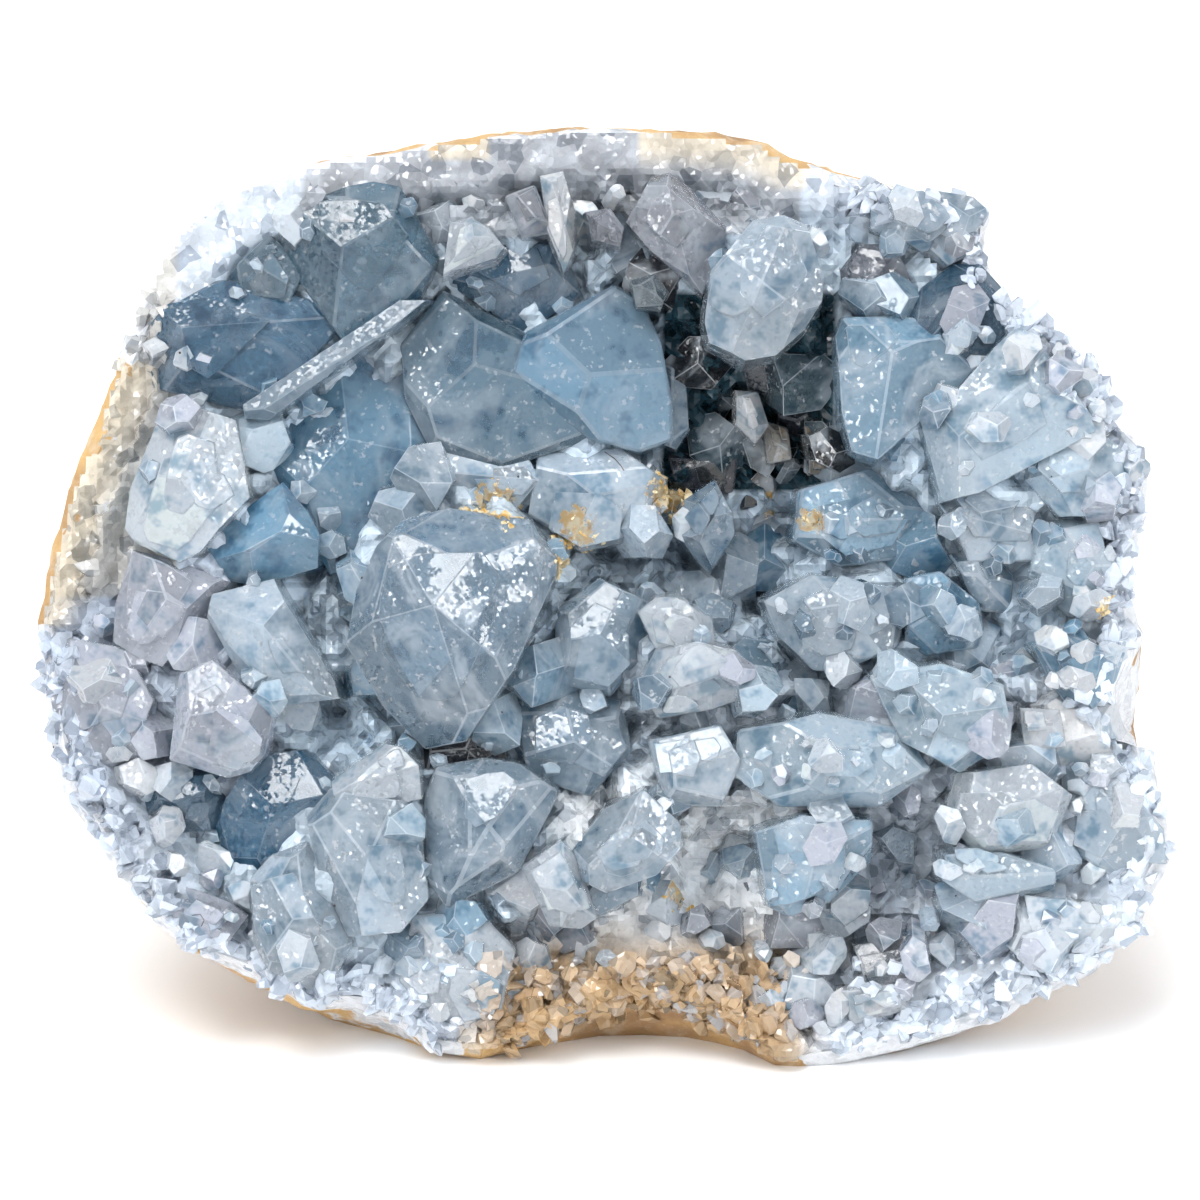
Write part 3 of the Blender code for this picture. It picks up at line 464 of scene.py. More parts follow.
def floorHeight(share):
    inside = max(0.0, 1 - (share / (1 - hollow["rim"])) ** 2)
    return -hollow["depth"] * inside ** hollow["curve"] - hollow["bed"]


def surfaceFinder(meshes):
    trees = []
    for mesh in meshes:
        bm = bmesh.new()
        bm.from_mesh(mesh)
        trees.append(BVHTree.FromBMesh(bm))
        bm.free()

    def find(u, v):
        # height and slope of the stone at a place on the face plane, seen from in front
        best = None
        start = setDown @ Vector((u, v, hollow["lookFrom"]))
        for tree in trees:
            place, normal, index, away = tree.ray_cast(start, -outward)
            if place and (best is None or away < best[2]):
                best = ((liftOff @ place).z, (liftOff.to_3x3() @ normal).normalized(), away)
        return best[:2] if best else None
    return find


def joinNet(bm, spacing, pointAt):
    # joins the points that pointAt gives for a net of places into faces of four
    made = {}
    rows, columns = [round(net[way] / spacing) for way in ("rows", "columns")]
    for row in range(-rows, rows + 1):
        for column in range(-columns, columns + 1):
            vert = pointAt(column * spacing, row * spacing)
            if vert is not None:
                made[row, column] = vert
    for row, column in made:
        corners = [made.get(key) for key in (
            (row, column), (row, column + 1), (row + 1, column + 1), (row + 1, column))]
        if None not in corners:
            bm.faces.new(corners)


# the crystals

tones = {
    "ink": (0.06, 0.15, 0.24), "steel": (0.13, 0.22, 0.29), "slate": (0.26, 0.36, 0.45),
    # the first tone on the next line is a near-black teal: the stone's blue-green with painted shade of
    # the deep pocket
    "shadowTeal": (0.012, 0.05, 0.07), "blue": (0.20, 0.38, 0.53), "pane": (0.17, 0.31, 0.43),
    "haze": (0.28, 0.44, 0.57), "sky": (0.50, 0.63, 0.73), "mist": (0.50, 0.60, 0.69),
    "ice": (0.74, 0.81, 0.88), "white": (0.84, 0.87, 0.91), "lilac": (0.60, 0.63, 0.72),
    "smoke": (0.34, 0.36, 0.41), "ash": (0.22, 0.24, 0.27), "tan": (0.36, 0.27, 0.16),
    # the last tone is near black, painted shadow for the gap under the dome
    "shadowBlack": (0.02, 0.03, 0.04)}

# girdle height, rise of the tip over it, the tip, the outline seen square on, and the end
# faces as the direction they face and their slope in degrees
crystals = {
    "deep": {
        "leftBlock": ("ink", -1, 3.2, (-41.5, 27), [(-46, 27.8), (-43.7, 31.9), (-36.3, 32),
            (-27.1, 29.6), (-25.6, 27.5), (-32.7, 19.1), (-35.5, 18.9), (-44.7, 21.2)], [(200, 38),
            (-18, 9), (80, 30)]),
        "upperLeftMass": ("steel", -0.5, 3.6, (-25.5, 35), [(-32.8, 38.5), (-31.5, 41), (-25.5, 42.5),
            (-20, 41.5), (-16, 34.2), (-18, 30), (-21.5, 26.5), (-25.5, 25.5), (-31, 33)], [(120, 22),
            (-60, 18), (195, 34)]),
        "diagonalPrism": ("slate", 1.2, 1.3, (-26.5, 23.6), [(-35.7, 19.5), (-20, 30), (-17.2, 30),
            (-20, 27.6), (-33, 18), (-35.5, 18.2)], [(122, 24), (-56, 24)]),
        "leftPane": ("blue", -4, 2.6, (-25, 16), [(-35, 17), (-30, 20.5), (-23, 25.5), (-20, 25),
            (-15.5, 12), (-16, 8.5), (-23, 4), (-27, 2.5), (-29, 6)], [(-62, 12), (150, 18), (50, 16)]),
        "centralPane": ("pane", -1.6, 2.2, (-1, 22.4), [(-9, 22), (-7.5, 26.8), (-2.5, 29.5),
            (1.4, 31.6), (4.2, 30), (6.2, 25.5), (7.2, 20), (7.2, 16), (4, 14.8), (-1, 16)], [(60, 10),
            (215, 12), (-62, 14)]),
        "centralStep": ("steel", -2.6, 2.2, (-12.5, 23.4), [(-20, 25.5), (-15.7, 31), (-7.5, 26.8),
            (-2.5, 20), (-1, 16), (-10, 13), (-17, 15), (-19.5, 20)], [(-80, 9), (150, 15), (50, 9)]),
        "darkStep": ("ink", -3.6, 1.4, (-9, 32.4), [(-16, 32), (-10, 35.5), (-4, 36), (-1.8, 30.6),
            (-7.5, 26.6)], [(-80, 22), (110, 24)]),
        "narrowSide": ("slate", -4.6, 1.2, (7, 20), [(6, 24), (8.5, 23.4), (8.9, 17), (7.6, 15),
            (6, 15.6)], [(0, 28), (180, 10)]),
        # these crystals, down to the bead, sit in the deep pocket and take its near-black tone: painted
        # shade
        "shadedTealFace": ("shadowTeal", -6, 2, (18, 24), [(13.8, 24.2), (22.7, 28.1), (24.2, 22.5), (22.4, 20.5),
            (18.4, 20), (14.8, 21)], [(-96, 24), (80, 20)]),
        "shadedTealLow": ("shadowTeal", -8.5, 2.4, (20.6, 18.4), [(17.5, 21), (24.2, 21), (24, 16.5), (20, 15.6),
            (17.7, 17)], [(-60, 28), (120, 28)]),
        "shadowWall": ("shadowTeal", -8, 2.4, (8.8, 27.4), [(4.8, 30.4), (10.4, 30.4), (12.6, 25.3),
            (9, 23.2), (6, 25)], [(-70, 26), (110, 22)]),
        "pocketFloor": ("shadowTeal", -10, 2.2, (10, 13.4), [(6.3, 16), (14, 15.8), (13.4, 10.6),
            (7.6, 10.4)], [(90, 20), (-60, 22)]),
        "darkBead": ("shadowTeal", 1.6, 1.3, (4.6, 31), [(3, 32), (5.5, 32.6), (6.9, 30.8), (6, 28.8),
            (3.6, 29.2)], [(60, 30), (240, 30)]),
        "blade": ("ink", 1, 3.4, (34.4, 30), [(29.9, 28.1), (32.2, 31.3), (35.3, 33.6), (38.4, 33.9),
            (40.2, 31.6), (41.2, 27.3), (39.4, 25), (36.3, 21.7)], [(138, 40), (-14, 16), (60, 22)]),
        "midBlue": ("blue", -1, 3.4, (-32, 7.2), [(-39.4, 5.4), (-34.7, 9.7), (-31.7, 11.8),
            (-29.2, 8.8), (-27.9, 6.5), (-28.2, 3.2), (-34.5, 1.4), (-37, 1.9)], [(135, 34), (-100, 18),
            (20, 24)]),
        "deepBlueLow": ("ink", -2.4, 3.2, (-32.4, -20.4), [(-38, -20.7), (-34.5, -15.4), (-29.4, -14.9),
            (-26.6, -17.7), (-29.2, -24.7), (-35.5, -28.1), (-37.5, -26.6), (-38.4, -22.8)], [(92, 22),
            (-64, 16), (190, 24)]),
        "darkLeft": ("ink", -3, 2.2, (-41, -19.6), [(-43.7, -16.2), (-38.1, -16.4), (-37.1, -17.9),
            (-38.1, -23), (-41.9, -23.3), (-45.6, -22), (-45.8, -19.7)], [(100, 20), (-60, 20)]),
        "rimBlue": ("steel", -2, 2.2, (-33.4, 32.8), [(-37.2, 32.5), (-33, 36.7), (-29.3, 33),
            (-31, 29.3), (-36.2, 29.8)], [(60, 20), (-120, 20)]),
    },
    "ice": {
        "paleLeft": ("ice", 1.5, 3, (-41.5, 12), [(-43.7, 19.2), (-41.6, 19.7), (-36.5, 18),
            (-35.1, 10.3), (-39.8, 4.9), (-42.1, 3.8), (-46.5, 5.7), (-47.5, 7.2), (-47, 11.1)],
            [(80, 17), (262, 20), (10, 30)]),
        "paleTip": ("ice", 3, 1.6, (-12.6, 36.2), [(-15.7, 32.6), (-15, 37.8), (-12.9, 38.3),
            (-11.1, 37.2), (-9.6, 35.3), (-10.4, 34.2)], [(-85, 26), (70, 12), (170, 30)]),
        "whitePrism": ("white", 1.6, 1.7, (-4, 39), [(-6, 42.4), (-3.7, 42.9), (-2.5, 39), (-2.7, 35),
            (-3.6, 32.7), (-5.3, 37)], [(10, 30), (188, 30), (90, 12)]),
        "overhang": ("mist", 5, 3.8, (16, 31.5), [(13.3, 35.7), (15.3, 38), (18.4, 38.5), (20.7, 37.5),
            (22.4, 32.1), (22.2, 29.8), (20.4, 27), (17.6, 24.5), (14.5, 24), (11, 25.8), (10.5, 27.8),
            (11, 32.9)], [(112, 18), (-82, 30), (4, 27), (205, 34)]),
        "paleUpper": ("ice", 2, 2.2, (7.4, -2), [(3.8, -1.2), (5.6, 0.3), (7.9, 0.3), (11.2, -1.9),
            (11.5, -4.5), (9, -6.2), (5.6, -5)], [(100, 18), (-60, 24), (200, 24)]),
        "paleLower": ("ice", 2.2, 2.8, (8.6, -7), [(4.1, -7.8), (5.6, -4.8), (10, -4), (13.5, -5),
            (15.8, -7.6), (16.3, -10.1), (11, -11), (6.4, -12.6), (4.2, -9.6)], [(94, 14), (-66, 18),
            (180, 26)]),
        "clearRimmed": ("mist", 1, 3.2, (-33.4, -2.6), [(-39.3, -1.7), (-38.8, 0.6), (-30.7, 2.6),
            (-28.7, -0.4), (-26.6, -8.1), (-25.6, -9.8), (-29.9, -10.4), (-33.9, -10.8), (-36, -7.6)],
            [(100, 14), (-70, 16), (205, 30), (10, 30)]),
        "paleWing": ("lilac", 2, 3.2, (-38, -11), [(-42.1, -7.4), (-38.1, -5.6), (-35.3, -8.6),
            (-32.5, -10.9), (-33.5, -15.5), (-35, -17.2), (-37.3, -17.8), (-43.1, -16)], [(110, 20),
            (-90, 20), (10, 20)]),
        "paleKnuckle": ("ice", 2, 2.2, (-21.6, -17.4), [(-26.9, -18.2), (-21.6, -14.4), (-19.8, -14.6),
            (-17.9, -16.4), (-17.7, -19.9), (-22.3, -20.9), (-26.4, -20.4)], [(110, 24), (-80, 18)]),
        "dome": ("slate", 2.6, 6.4, (-16.4, -0.5), [(-25.4, -4.5), (-24.4, 1), (-22.3, 5.5), (-19.8, 8),
            (-15.2, 9.2), (-7, 8), (-4.3, 4.2), (-4.5, -1.4), (-8.4, -7), (-11.1, -13.4),
            (-13.7, -14.2), (-17.5, -14.9), (-21.6, -10.8)], [(96, 26), (172, 34), (-86, 20), (14, 24),
            (226, 36)]),
        "lowerLeftClear": ("mist", 1.8, 3.8, (-23, -25.6), [(-29.4, -21.7), (-26.9, -18.8),
            (-18.7, -20), (-17.7, -24.3), (-17.1, -29.9), (-19.8, -33.2), (-25.2, -33.7),
            (-28.2, -27.3)], [(80, 14), (-84, 16), (200, 26), (0, 30)]),
        "roundLow": ("slate", 1.2, 4.4, (-11, -22.4), [(-17.6, -19.6), (-16.4, -16.6), (-11.6, -15.8),
            (-8.1, -16.3), (-4.4, -18.8), (-1.7, -22.8), (-3.2, -24.7), (-8.1, -27.2), (-10.1, -31.1),
            (-14.9, -31.4), (-17.4, -27.9)], [(95, 22), (-85, 20), (0, 26), (182, 28)]),
        "paleLow": ("ice", 1, 2.8, (-3.4, -28.8), [(-7.9, -26.6), (-3, -23.3), (-2.2, -25.8),
            (0.8, -29.1), (0.5, -31.3), (-1.9, -32.9), (-5.1, -32.6)], [(80, 20), (-100, 24), (0, 24)]),
        "lowCentre": ("mist", 1, 3.2, (3, -23.4), [(-2.7, -24.9), (0.6, -20.8), (4.4, -18.7),
            (8, -22.2), (8.2, -24.8), (5.7, -27.5), (0.6, -29.3), (-2, -28)], [(120, 22), (-74, 20),
            (20, 26)]),
        "paleBottomLeft": ("mist", 1, 3.4, (-30.4, -31.6), [(-35, -27.9), (-33, -25.6), (-29.4, -24.1),
            (-28, -26.3), (-24.6, -34.2), (-26.8, -38.3), (-29.4, -39.5), (-32.6, -38.8),
            (-34.7, -34.2)], [(90, 16), (-80, 22), (180, 26)]),
        "nose": ("mist", -0.5, 3.2, (36.6, 38), [(31.2, 41.3), (37.3, 40.7), (39.8, 39), (39.8, 37.5),
            (37.9, 34.8), (36.3, 33.7), (33.8, 32.7), (32, 34.7)], [(80, 20), (-40, 30), (205, 18)]),
        "pocketSliver": ("white", -4, 1.8, (14.8, 18.6), [(13.5, 21), (15.8, 20.8), (16.9, 17.5),
            (15.5, 15.6), (13.6, 17.5)], [(20, 34), (200, 26)]),
        "whiteLowSlab": ("white", -0.6, 1.8, (27.6, -40), [(23.8, -39), (30.6, -37.8), (30.8, -41),
            (25, -42.7)], [(60, 18), (240, 24)]),
        "rightLowPale": ("ice", 1, 3, (40.4, -20.6), [(35.6, -17.3), (43, -16.2), (47.3, -19.5),
            (45.2, -24.7), (38, -25.7), (34.3, -22)], [(100, 18), (-60, 20), (180, 18)]),
        "ribbedChip": ("white", 2, 1.3, (44.2, -12.6), [(42, -10.8), (46, -11), (46.7, -14.7),
            (42.5, -15.2)], [(80, 26), (-80, 26)]),
        "lavender": ("lilac", -0.4, 2.6, (-43, 0), [(-46.7, 5), (-42.1, 3.9), (-37, 1.8), (-39.1, -1.4),
            (-43.7, -6.7), (-45.9, -5.9), (-48.7, -4.2), (-48.5, -0.4)], [(60, 16), (-110, 18),
            (180, 28)]),
        "paleBlob": ("lilac", 0, 2.4, (-40.4, -31.4), [(-44.9, -30.9), (-42.1, -28.2), (-37, -30.2),
            (-35.3, -31.7), (-37, -34.3), (-42.7, -34.9), (-45.2, -32.5)], [(70, 20), (-100, 22)]),
        "leftLowSlab": ("lilac", -1.6, 2.4, (-49.4, -10.6), [(-53.5, -3.6), (-47.3, -4.8), (-44.3, -10),
            (-44.8, -16), (-51, -17.2), (-55.4, -11)], [(60, 14), (-100, 16), (190, 22)]),
        "bottomLeftFoot": ("ice", -0.6, 3, (-14, -37), [(-18.7, -31.3), (-12, -31.2), (-8.4, -35),
            (-10, -42), (-16, -43.2), (-20.2, -38)], [(80, 18), (-90, 24), (180, 20)]),
    },
    "blue": {
        "tallBlock": ("haze", 2.2, 3.2, (29, 24.6), [(24.3, 28.3), (30.2, 28.4), (34.3, 27.7),
            (37.8, 23.5), (35.3, 20.6), (27.7, 13.9), (25.1, 14.8), (24.1, 18.6), (23.5, 26.3)],
            [(92, 13), (-48, 15), (200, 20)]),
        "rightBig": ("sky", 3, 4.2, (42.5, 21.6), [(32.2, 17.3), (35.8, 21.4), (39.4, 25.4),
            (42.7, 28.6), (45.7, 27.7), (48.3, 25.5), (50.8, 22.2), (52.1, 18.2), (45.5, 14.6),
            (37.8, 10.6), (34.3, 9.8)], [(138, 26), (-70, 16), (36, 22)]),
        "sparkleBlock": ("sky", 1.6, 2.8, (48.4, 13), [(43, 16), (46, 18), (49.5, 18), (53, 15),
            (53.6, 11), (51, 8.3), (46, 8.3), (42.5, 12)], [(100, 16), (-70, 20), (10, 24)]),
        "rightEdge": ("ice", -0.4, 2.4, (53.2, 14.2), [(48.8, 18.3), (52.7, 17.4), (55.8, 14.5),
            (56.2, 12.2), (55, 9.6), (51, 12)], [(50, 24), (-40, 24), (180, 16)]),
        "middleBlock": ("mist", -1, 3.2, (24, -0.4), [(16.4, -0.1), (21.2, 2.6), (30.8, 1.2),
            (30.5, -1.9), (29.8, -4.7), (24, -7.2), (21.2, -7), (17.7, -3.5)], [(96, 20), (-78, 16),
            (0, 22)]),
        "blueBlock": ("blue", -1.4, 2.8, (34, -0.8), [(30.4, 2.2), (33.9, 3), (37.9, -0.2), (38.4, -3),
            (37.8, -4.8), (32.6, -5.6), (30.4, -4.2)], [(110, 18), (-50, 22), (10, 30)]),
        "greyArch": ("slate", -2, 2.4, (38, 2.8), [(34.8, 4.6), (39, 5), (41.4, 2.5), (41, -1.4),
            (37.6, -1)], [(90, 24), (-20, 26)]),
        "rightPane": ("haze", 1, 2.4, (48.6, -5.8), [(43.3, -4.7), (48.1, -2.2), (53.2, -4), (54.4, -5),
            (52, -8.3), (50.7, -12), (48.1, -12.3), (45.2, -8.5)], [(100, 14), (-60, 16), (190, 20)]),
        "blueBowl": ("haze", 1, 3.4, (21.4, -25.4), [(15.5, -23.2), (20, -21.3), (27.2, -21.8),
            (27.2, -26), (23, -30.2), (19, -31.7), (16.8, -30.7)], [(100, 14), (-50, 20), (190, 28)]),
        "lowShoulder": ("sky", 2.2, 3.4, (23, -15.6), [(13.8, -13), (22, -11.3), (30.2, -12.8),
            (33.2, -17), (28, -20.7), (18, -20.7), (13.3, -17.5)], [(96, 16), (-84, 18), (0, 16),
            (180, 20)]),
        "rightShoulder": ("sky", 2, 3.2, (34, -11.4), [(26.8, -7.5), (34, -6.2), (40.2, -8.3),
            (41.2, -14), (36, -17.3), (30, -14.2)], [(84, 16), (-70, 18), (200, 22)]),
        "rightLowBlock": ("sky", 0.4, 2.6, (39.6, -27.4), [(34.3, -23.2), (40, -25), (45.3, -24.8),
            (45.5, -29), (38, -30.6), (34, -28)], [(80, 16), (-80, 24)]),
        "rightCorner": ("mist", -1, 3, (52, -22), [(46, -16.2), (53, -17.2), (57, -22), (57.4, -27),
            (52, -28.3), (46.4, -24.7)], [(70, 18), (-60, 22), (180, 20)]),
        "rightMass": ("sky", 0, 2.8, (49, 3.4), [(43.8, 7.7), (51, 8.7), (54.4, 4), (53, -1.2),
            (47, -1.8), (42.8, 2.4)], [(70, 16), (-70, 18), (190, 20)]),
        "rightBottom": ("ice", -1, 2.8, (47, -32.6), [(40.8, -28.3), (49, -28.3), (54.2, -31),
            (52, -36), (44, -37.8), (39.8, -34)], [(80, 18), (-80, 24)]),
        "rightBars": ("mist", -1, 2.2, (38.4, 7.8), [(33.8, 9.7), (39, 11.8), (44.2, 9), (43.2, 3.8),
            (36.8, 3.8)], [(60, 18), (-90, 20)]),
        "rightCentre": ("haze", -4, 2.8, (26, 8), [(19.8, 11), (27, 13.2), (33.2, 9), (32.2, 4.3),
            (24, 3.3), (19.3, 6)], [(80, 16), (-80, 18), (180, 20)]),
        "centreGrey": ("slate", -2, 3.2, (0, -3.4), [(-4.4, -1), (0, 2.2), (5.2, -0.3), (4.2, -6),
            (1, -9.7), (-4.7, -8.2)], [(100, 20), (-80, 18), (10, 24)]),
        "centreFan": ("slate", -3, 3.2, (-2.6, -14), [(-8.9, -10.5), (-3, -8.8), (2.2, -10), (3.2, -15),
            (-1, -19.7), (-7.2, -17.7)], [(40, 20), (-110, 24), (160, 18)]),
        "centreFoot": ("mist", 1, 2.8, (9.4, -16.4), [(4.8, -14), (12, -12.3), (14.2, -16),
            (12.2, -20.7), (6.4, -20.4)], [(110, 22), (-60, 20)]),
        "centreDruse": ("mist", -3.2, 2.4, (-0.5, 10.4), [(-6.2, 14.7), (2, 15.2), (6.7, 12),
            (5.2, 6.3), (-2, 4.8), (-7.2, 8.5)], [(90, 14), (-70, 16), (200, 16)]),
        "underPane": ("mist", -3.8, 1.8, (-11.4, 12.4), [(-16.2, 15), (-8, 15.7), (-5.8, 12), (-9, 8.3),
            (-15.2, 9.3)], [(80, 16), (-90, 16)]),
        "topRight": ("slate", 1, 2.8, (31, 38.6), [(27.7, 41.8), (31.2, 41.6), (34.8, 39.2),
            (36.1, 37.5), (34.5, 35.3), (32.2, 34.8), (27.1, 37), (26.9, 39.8)], [(60, 18), (-60, 22),
            (190, 30)]),
    },
    "smoky": {
        # a near-black crystal filling the gap under the dome: painted shadow
        "shadowGapFill": ("shadowBlack", -0.6, 1.2, (-13.4, -14.8), [(-17.8, -13), (-9.8, -12.6), (-9.4, -15.8),
            (-11.6, -16.8), (-17.6, -17)], [(90, 20), (-80, 24), (10, 30)]),
        "smokyThumb": ("smoke", 1.8, 3.4, (7.2, 38.2), [(5.1, 42.3), (7.4, 42.9), (8.9, 41.3),
            (12.2, 38.8), (12.6, 35.7), (10.2, 30.6), (8.7, 32), (5.1, 34.9), (2.6, 37.8)], [(150, 28),
            (-35, 26), (60, 22)]),
        "greySnout": ("smoke", 2.4, 1.6, (0.4, 37.6), [(-1.5, 38.8), (1, 39.2), (2.4, 37.2), (2, 35.3),
            (-0.8, 36)], [(80, 32), (-70, 30)]),
        "greyChip": ("smoke", 1, 1.6, (-7, 38.8), [(-9.6, 40.3), (-6.5, 41.5), (-4.5, 36.7),
            (-7.8, 36.2)], [(40, 24), (220, 24)]),
        "crackledFace": ("smoke", -1, 1.8, (27, 32), [(24, 33), (26, 35.6), (29, 35.6), (31.4, 32),
            (30.5, 28.4), (26, 28.2), (24.3, 30)], [(110, 22), (-20, 18), (220, 26)]),
        "greyPoint": ("slate", -3.4, 3.4, (10.8, 8.2), [(11.5, 12), (13.2, 8.8), (13.5, 6.5), (11, 2.6),
            (9.4, 4.2), (7.2, 7.5), (8.4, 10)], [(70, 26), (-50, 30), (190, 32)]),
        "greyLowFace": ("ash", -1, 1.8, (29, -36), [(25.3, -34.5), (31, -33.3), (33.2, -37), (30, -39),
            (26.3, -38.2)], [(-60, 18), (110, 22)]),
        "tanChip": ("tan", -6, 1.6, (17.6, 15.6), [(16.2, 18), (18.8, 17.2), (19.2, 14), (16.8, 13.6)],
            [(60, 26), (240, 26)]),
        "tanShelf": ("tan", -6.5, 2, (22.4, 15), [(20.3, 17.4), (24.6, 17), (24.6, 12.4), (20.9, 12.6)],
            [(80, 22), (-60, 26)]),
    },
}

crystalShape = {
    "flare": 3.0, "leastCorner": 0.6, "bevelChance": 0.5, "bevelSlopes": (36, 66),
    "chamfer": (0.10, 0.26), "block": 160, "tintSpread": 0.04,
    # growth steps: how many, how large, how high, how far aside and how uneven
    "steps": {"deep": (0, 2), "blue": (1, 3), "ice": (1, 4), "smoky": (1, 3)},
    "stepSize": (0.28, 0.7), "stepRise": (0.12, 0.55), "stepAside": (0.1, 0.95),
    "stepUneven": (0.8, 1.15), "stepDepth": 6, "stepSpread": 0.03, "stepWear": 0.6,
    # the underside at the edge of the stone
    "edgeShare": 0.86, "edgeDrop": 2.2, "edgeOut": 0.8, "edgeDown": -0.6}


def plainCorners(points):
    corners = [Vector(point) for point in points]
    while len(corners) > 4:
        areas = []
        for i, corner in enumerate(corners):
            before = corners[i - 1] - corner
            after = corners[(i + 1) % len(corners)] - corner
            areas.append(abs(before.cross(after)) / 2)
        if min(areas) > crystalShape["leastCorner"]:
            break
        corners.pop(areas.index(min(areas)))
    return corners


def sidePlanes(corners, girdle, towards, bevelled=True):
    planes = []
    flare = math.tan(math.radians(crystalShape["flare"]))
    for i, corner in enumerate(corners):
        side = corners[(i + 1) % len(corners)] - corner
        away = Vector((side.y, -side.x)).normalized()
        if away.dot(towards - corner) > 0:
            away = -away
        foot = Vector((corner.x, corner.y, girdle))
        planes.append((foot, Vector((*away, flare)).normalized()))
        if bevelled and random.random() < crystalShape["bevelChance"]:
            slope = math.radians(random.uniform(*crystalShape["bevelSlopes"]))
            planes.append((foot, Vector((*(away * math.sin(slope)), math.cos(slope)))))
    return planes


def endPlanes(peak, ends):
    planes = []
    for facing, slope in ends:
        facing = math.radians(facing)
        slope = math.radians(slope)
        across = Vector((math.cos(facing), math.sin(facing), 0)) * math.sin(slope)
        planes.append((peak, across + Vector((0, 0, math.cos(slope)))))
    return planes


def nudged(tint, spread):
    shift = random.uniform(-spread, spread)
    return tuple(min(0.98, max(0.02, part + shift)) for part in tint)


def edgePlanes(corners, girdle):
    # slopes the underside of a crystal at the edge of the stone, so that it springs from the wall
    planes = []
    for corner in corners:
        if shareOfReach(*corner) > crystalShape["edgeShare"]:
            away = (corner - hollow["centre"]).normalized()
            foot = Vector((corner.x, corner.y, girdle - crystalShape["edgeDrop"]))
            across = away * crystalShape["edgeOut"]
            planes.append((foot, Vector((*across, crystalShape["edgeDown"]))))
    return planes


def largeCrystal(kind, tone, girdle, rise, tip, points, ends):
    # a crystal with flat end faces, and growth steps standing a little proud of them
    look = crystalShape
    spread = 1 - girdle / sightDistance
    corners = [point * spread for point in plainCorners(points)]
    peak = Vector((tip[0] * spread, tip[1] * spread, girdle + rise))
    root = min(floorHeight(shareOfReach(u, v)) for u, v in points) - hollow["root"]
    root = min(root, girdle - hollow["root"])
    tint = nudged(tones[tone], look["tintSpread"])
    chamfer = random.uniform(*look["chamfer"])
    planes = [(Vector((peak.x, peak.y, root)), Vector((0, 0, -1)))]
    planes += sidePlanes(corners, girdle, peak.xy) + endPlanes(peak, ends)
    planes += edgePlanes(corners, girdle)
    yield paint(cutGem(planes, look["block"]), tint, chamfer)
    middle = sum(corners, Vector((0, 0))) / len(corners)
    for step in range(random.randint(*look["steps"][kind])):
        size = random.uniform(*look["stepSize"])
        aside = random.choice(corners) - middle
        nearest, farthest = look["stepAside"]
        centre = middle + aside * random.uniform(nearest, farthest - size)
        smaller = [
            centre + (corner - middle) * size * random.uniform(*look["stepUneven"])
            for corner in corners]
        rising = peak + Vector((0, 0, random.uniform(*look["stepRise"])))
        planes = [(Vector((centre.x, centre.y, girdle - look["stepDepth"])), Vector((0, 0, -1)))]
        planes += sidePlanes(smaller, girdle, centre, False) + endPlanes(rising, ends)
        gem = cutGem(planes, look["block"])
        if len(gem.verts) < 6:
            gem.free()
            continue
        yield paint(gem, nudged(tint, look["stepSpread"]), chamfer * look["stepWear"])


# small crystals in the valleys and along the broken rim

smallShape = {
    "prism": 38, "chisel": 52, "root": 0.8, "flatness": 0.8, "uneven": (0.75, 1.1),
    "slopes": (0.5, 1.1), "sides": (0.5, 1.5), "block": 8, "chamfer": 0.07, "tintSpread": 0.06}
smallPlaces = {
    # valleys are told by how far the stone around a place stands over it, and onFaces is the
    # share of open faces that get one
    "blocks": {"spacing": 5.2, "lengths": (4.0, 6.5), "widths": (2.4, 4.2), "inValleys": 0.95,
               "onFaces": 0.0, "look": 4.5, "valleyDepth": 2.2, "sunk": 0.1},
    "fillers": {"spacing": 4.2, "lengths": (2.6, 4.6), "widths": (1.6, 2.9), "inValleys": 0.8,
                "onFaces": 0.02, "look": 2.2, "valleyDepth": 0.5, "sunk": 0.35},
    "chips": {"spacing": 2.7, "lengths": (1.0, 2.3), "widths": (0.7, 1.5), "inValleys": 0.5,
              "onFaces": 0.0, "look": 2.2, "valleyDepth": 0.5, "sunk": 0.35}}
smallSpread = {
    "jitter": 0.45, "lean": 0.6, "last": 0.96, "amongLarge": 0.3, "proud": (0.5, 2.0)}


def smallCrystal(foot, axis, length, width, tint):
    look = smallShape
    turn = random.uniform(0, math.pi)
    planes = [(Vector((0, 0, -length * look["root"])), Vector((0, 0, -1)))]
    prism = math.radians(look["prism"])
    for angle, share in ((prism, 1), (-prism, 1), (math.pi / 2, look["flatness"])):
        for way in (angle, angle + math.pi):
            normal = Vector((math.cos(way + turn), math.sin(way + turn), 0))
            planes.append((normal * width * share * random.uniform(*look["uneven"]), normal))
    tip = Vector((0, 0, length))
    for way in (turn, turn + math.pi, turn + random.choice(look["sides"]) * math.pi):
        slope = math.radians(look["chisel"]) * random.uniform(*look["slopes"])
        flat = Vector((math.cos(way), math.sin(way), 0)) * math.sin(slope)
        planes.append((tip, flat + Vector((0, 0, math.cos(slope)))))
    bm = cutGem(planes, look["block"] * max(length, width))
    stood = Vector((0, 0, 1)).rotation_difference(axis).to_matrix().to_4x4()
    bmesh.ops.transform(bm, matrix=Matrix.Translation(foot) @ stood, verts=bm.verts)
    return paint(bm, tint, look["chamfer"])


def inPocket(u, v):
    # the dark pocket right of the middle
    return 6 < u < 24 and 11 < v < 31


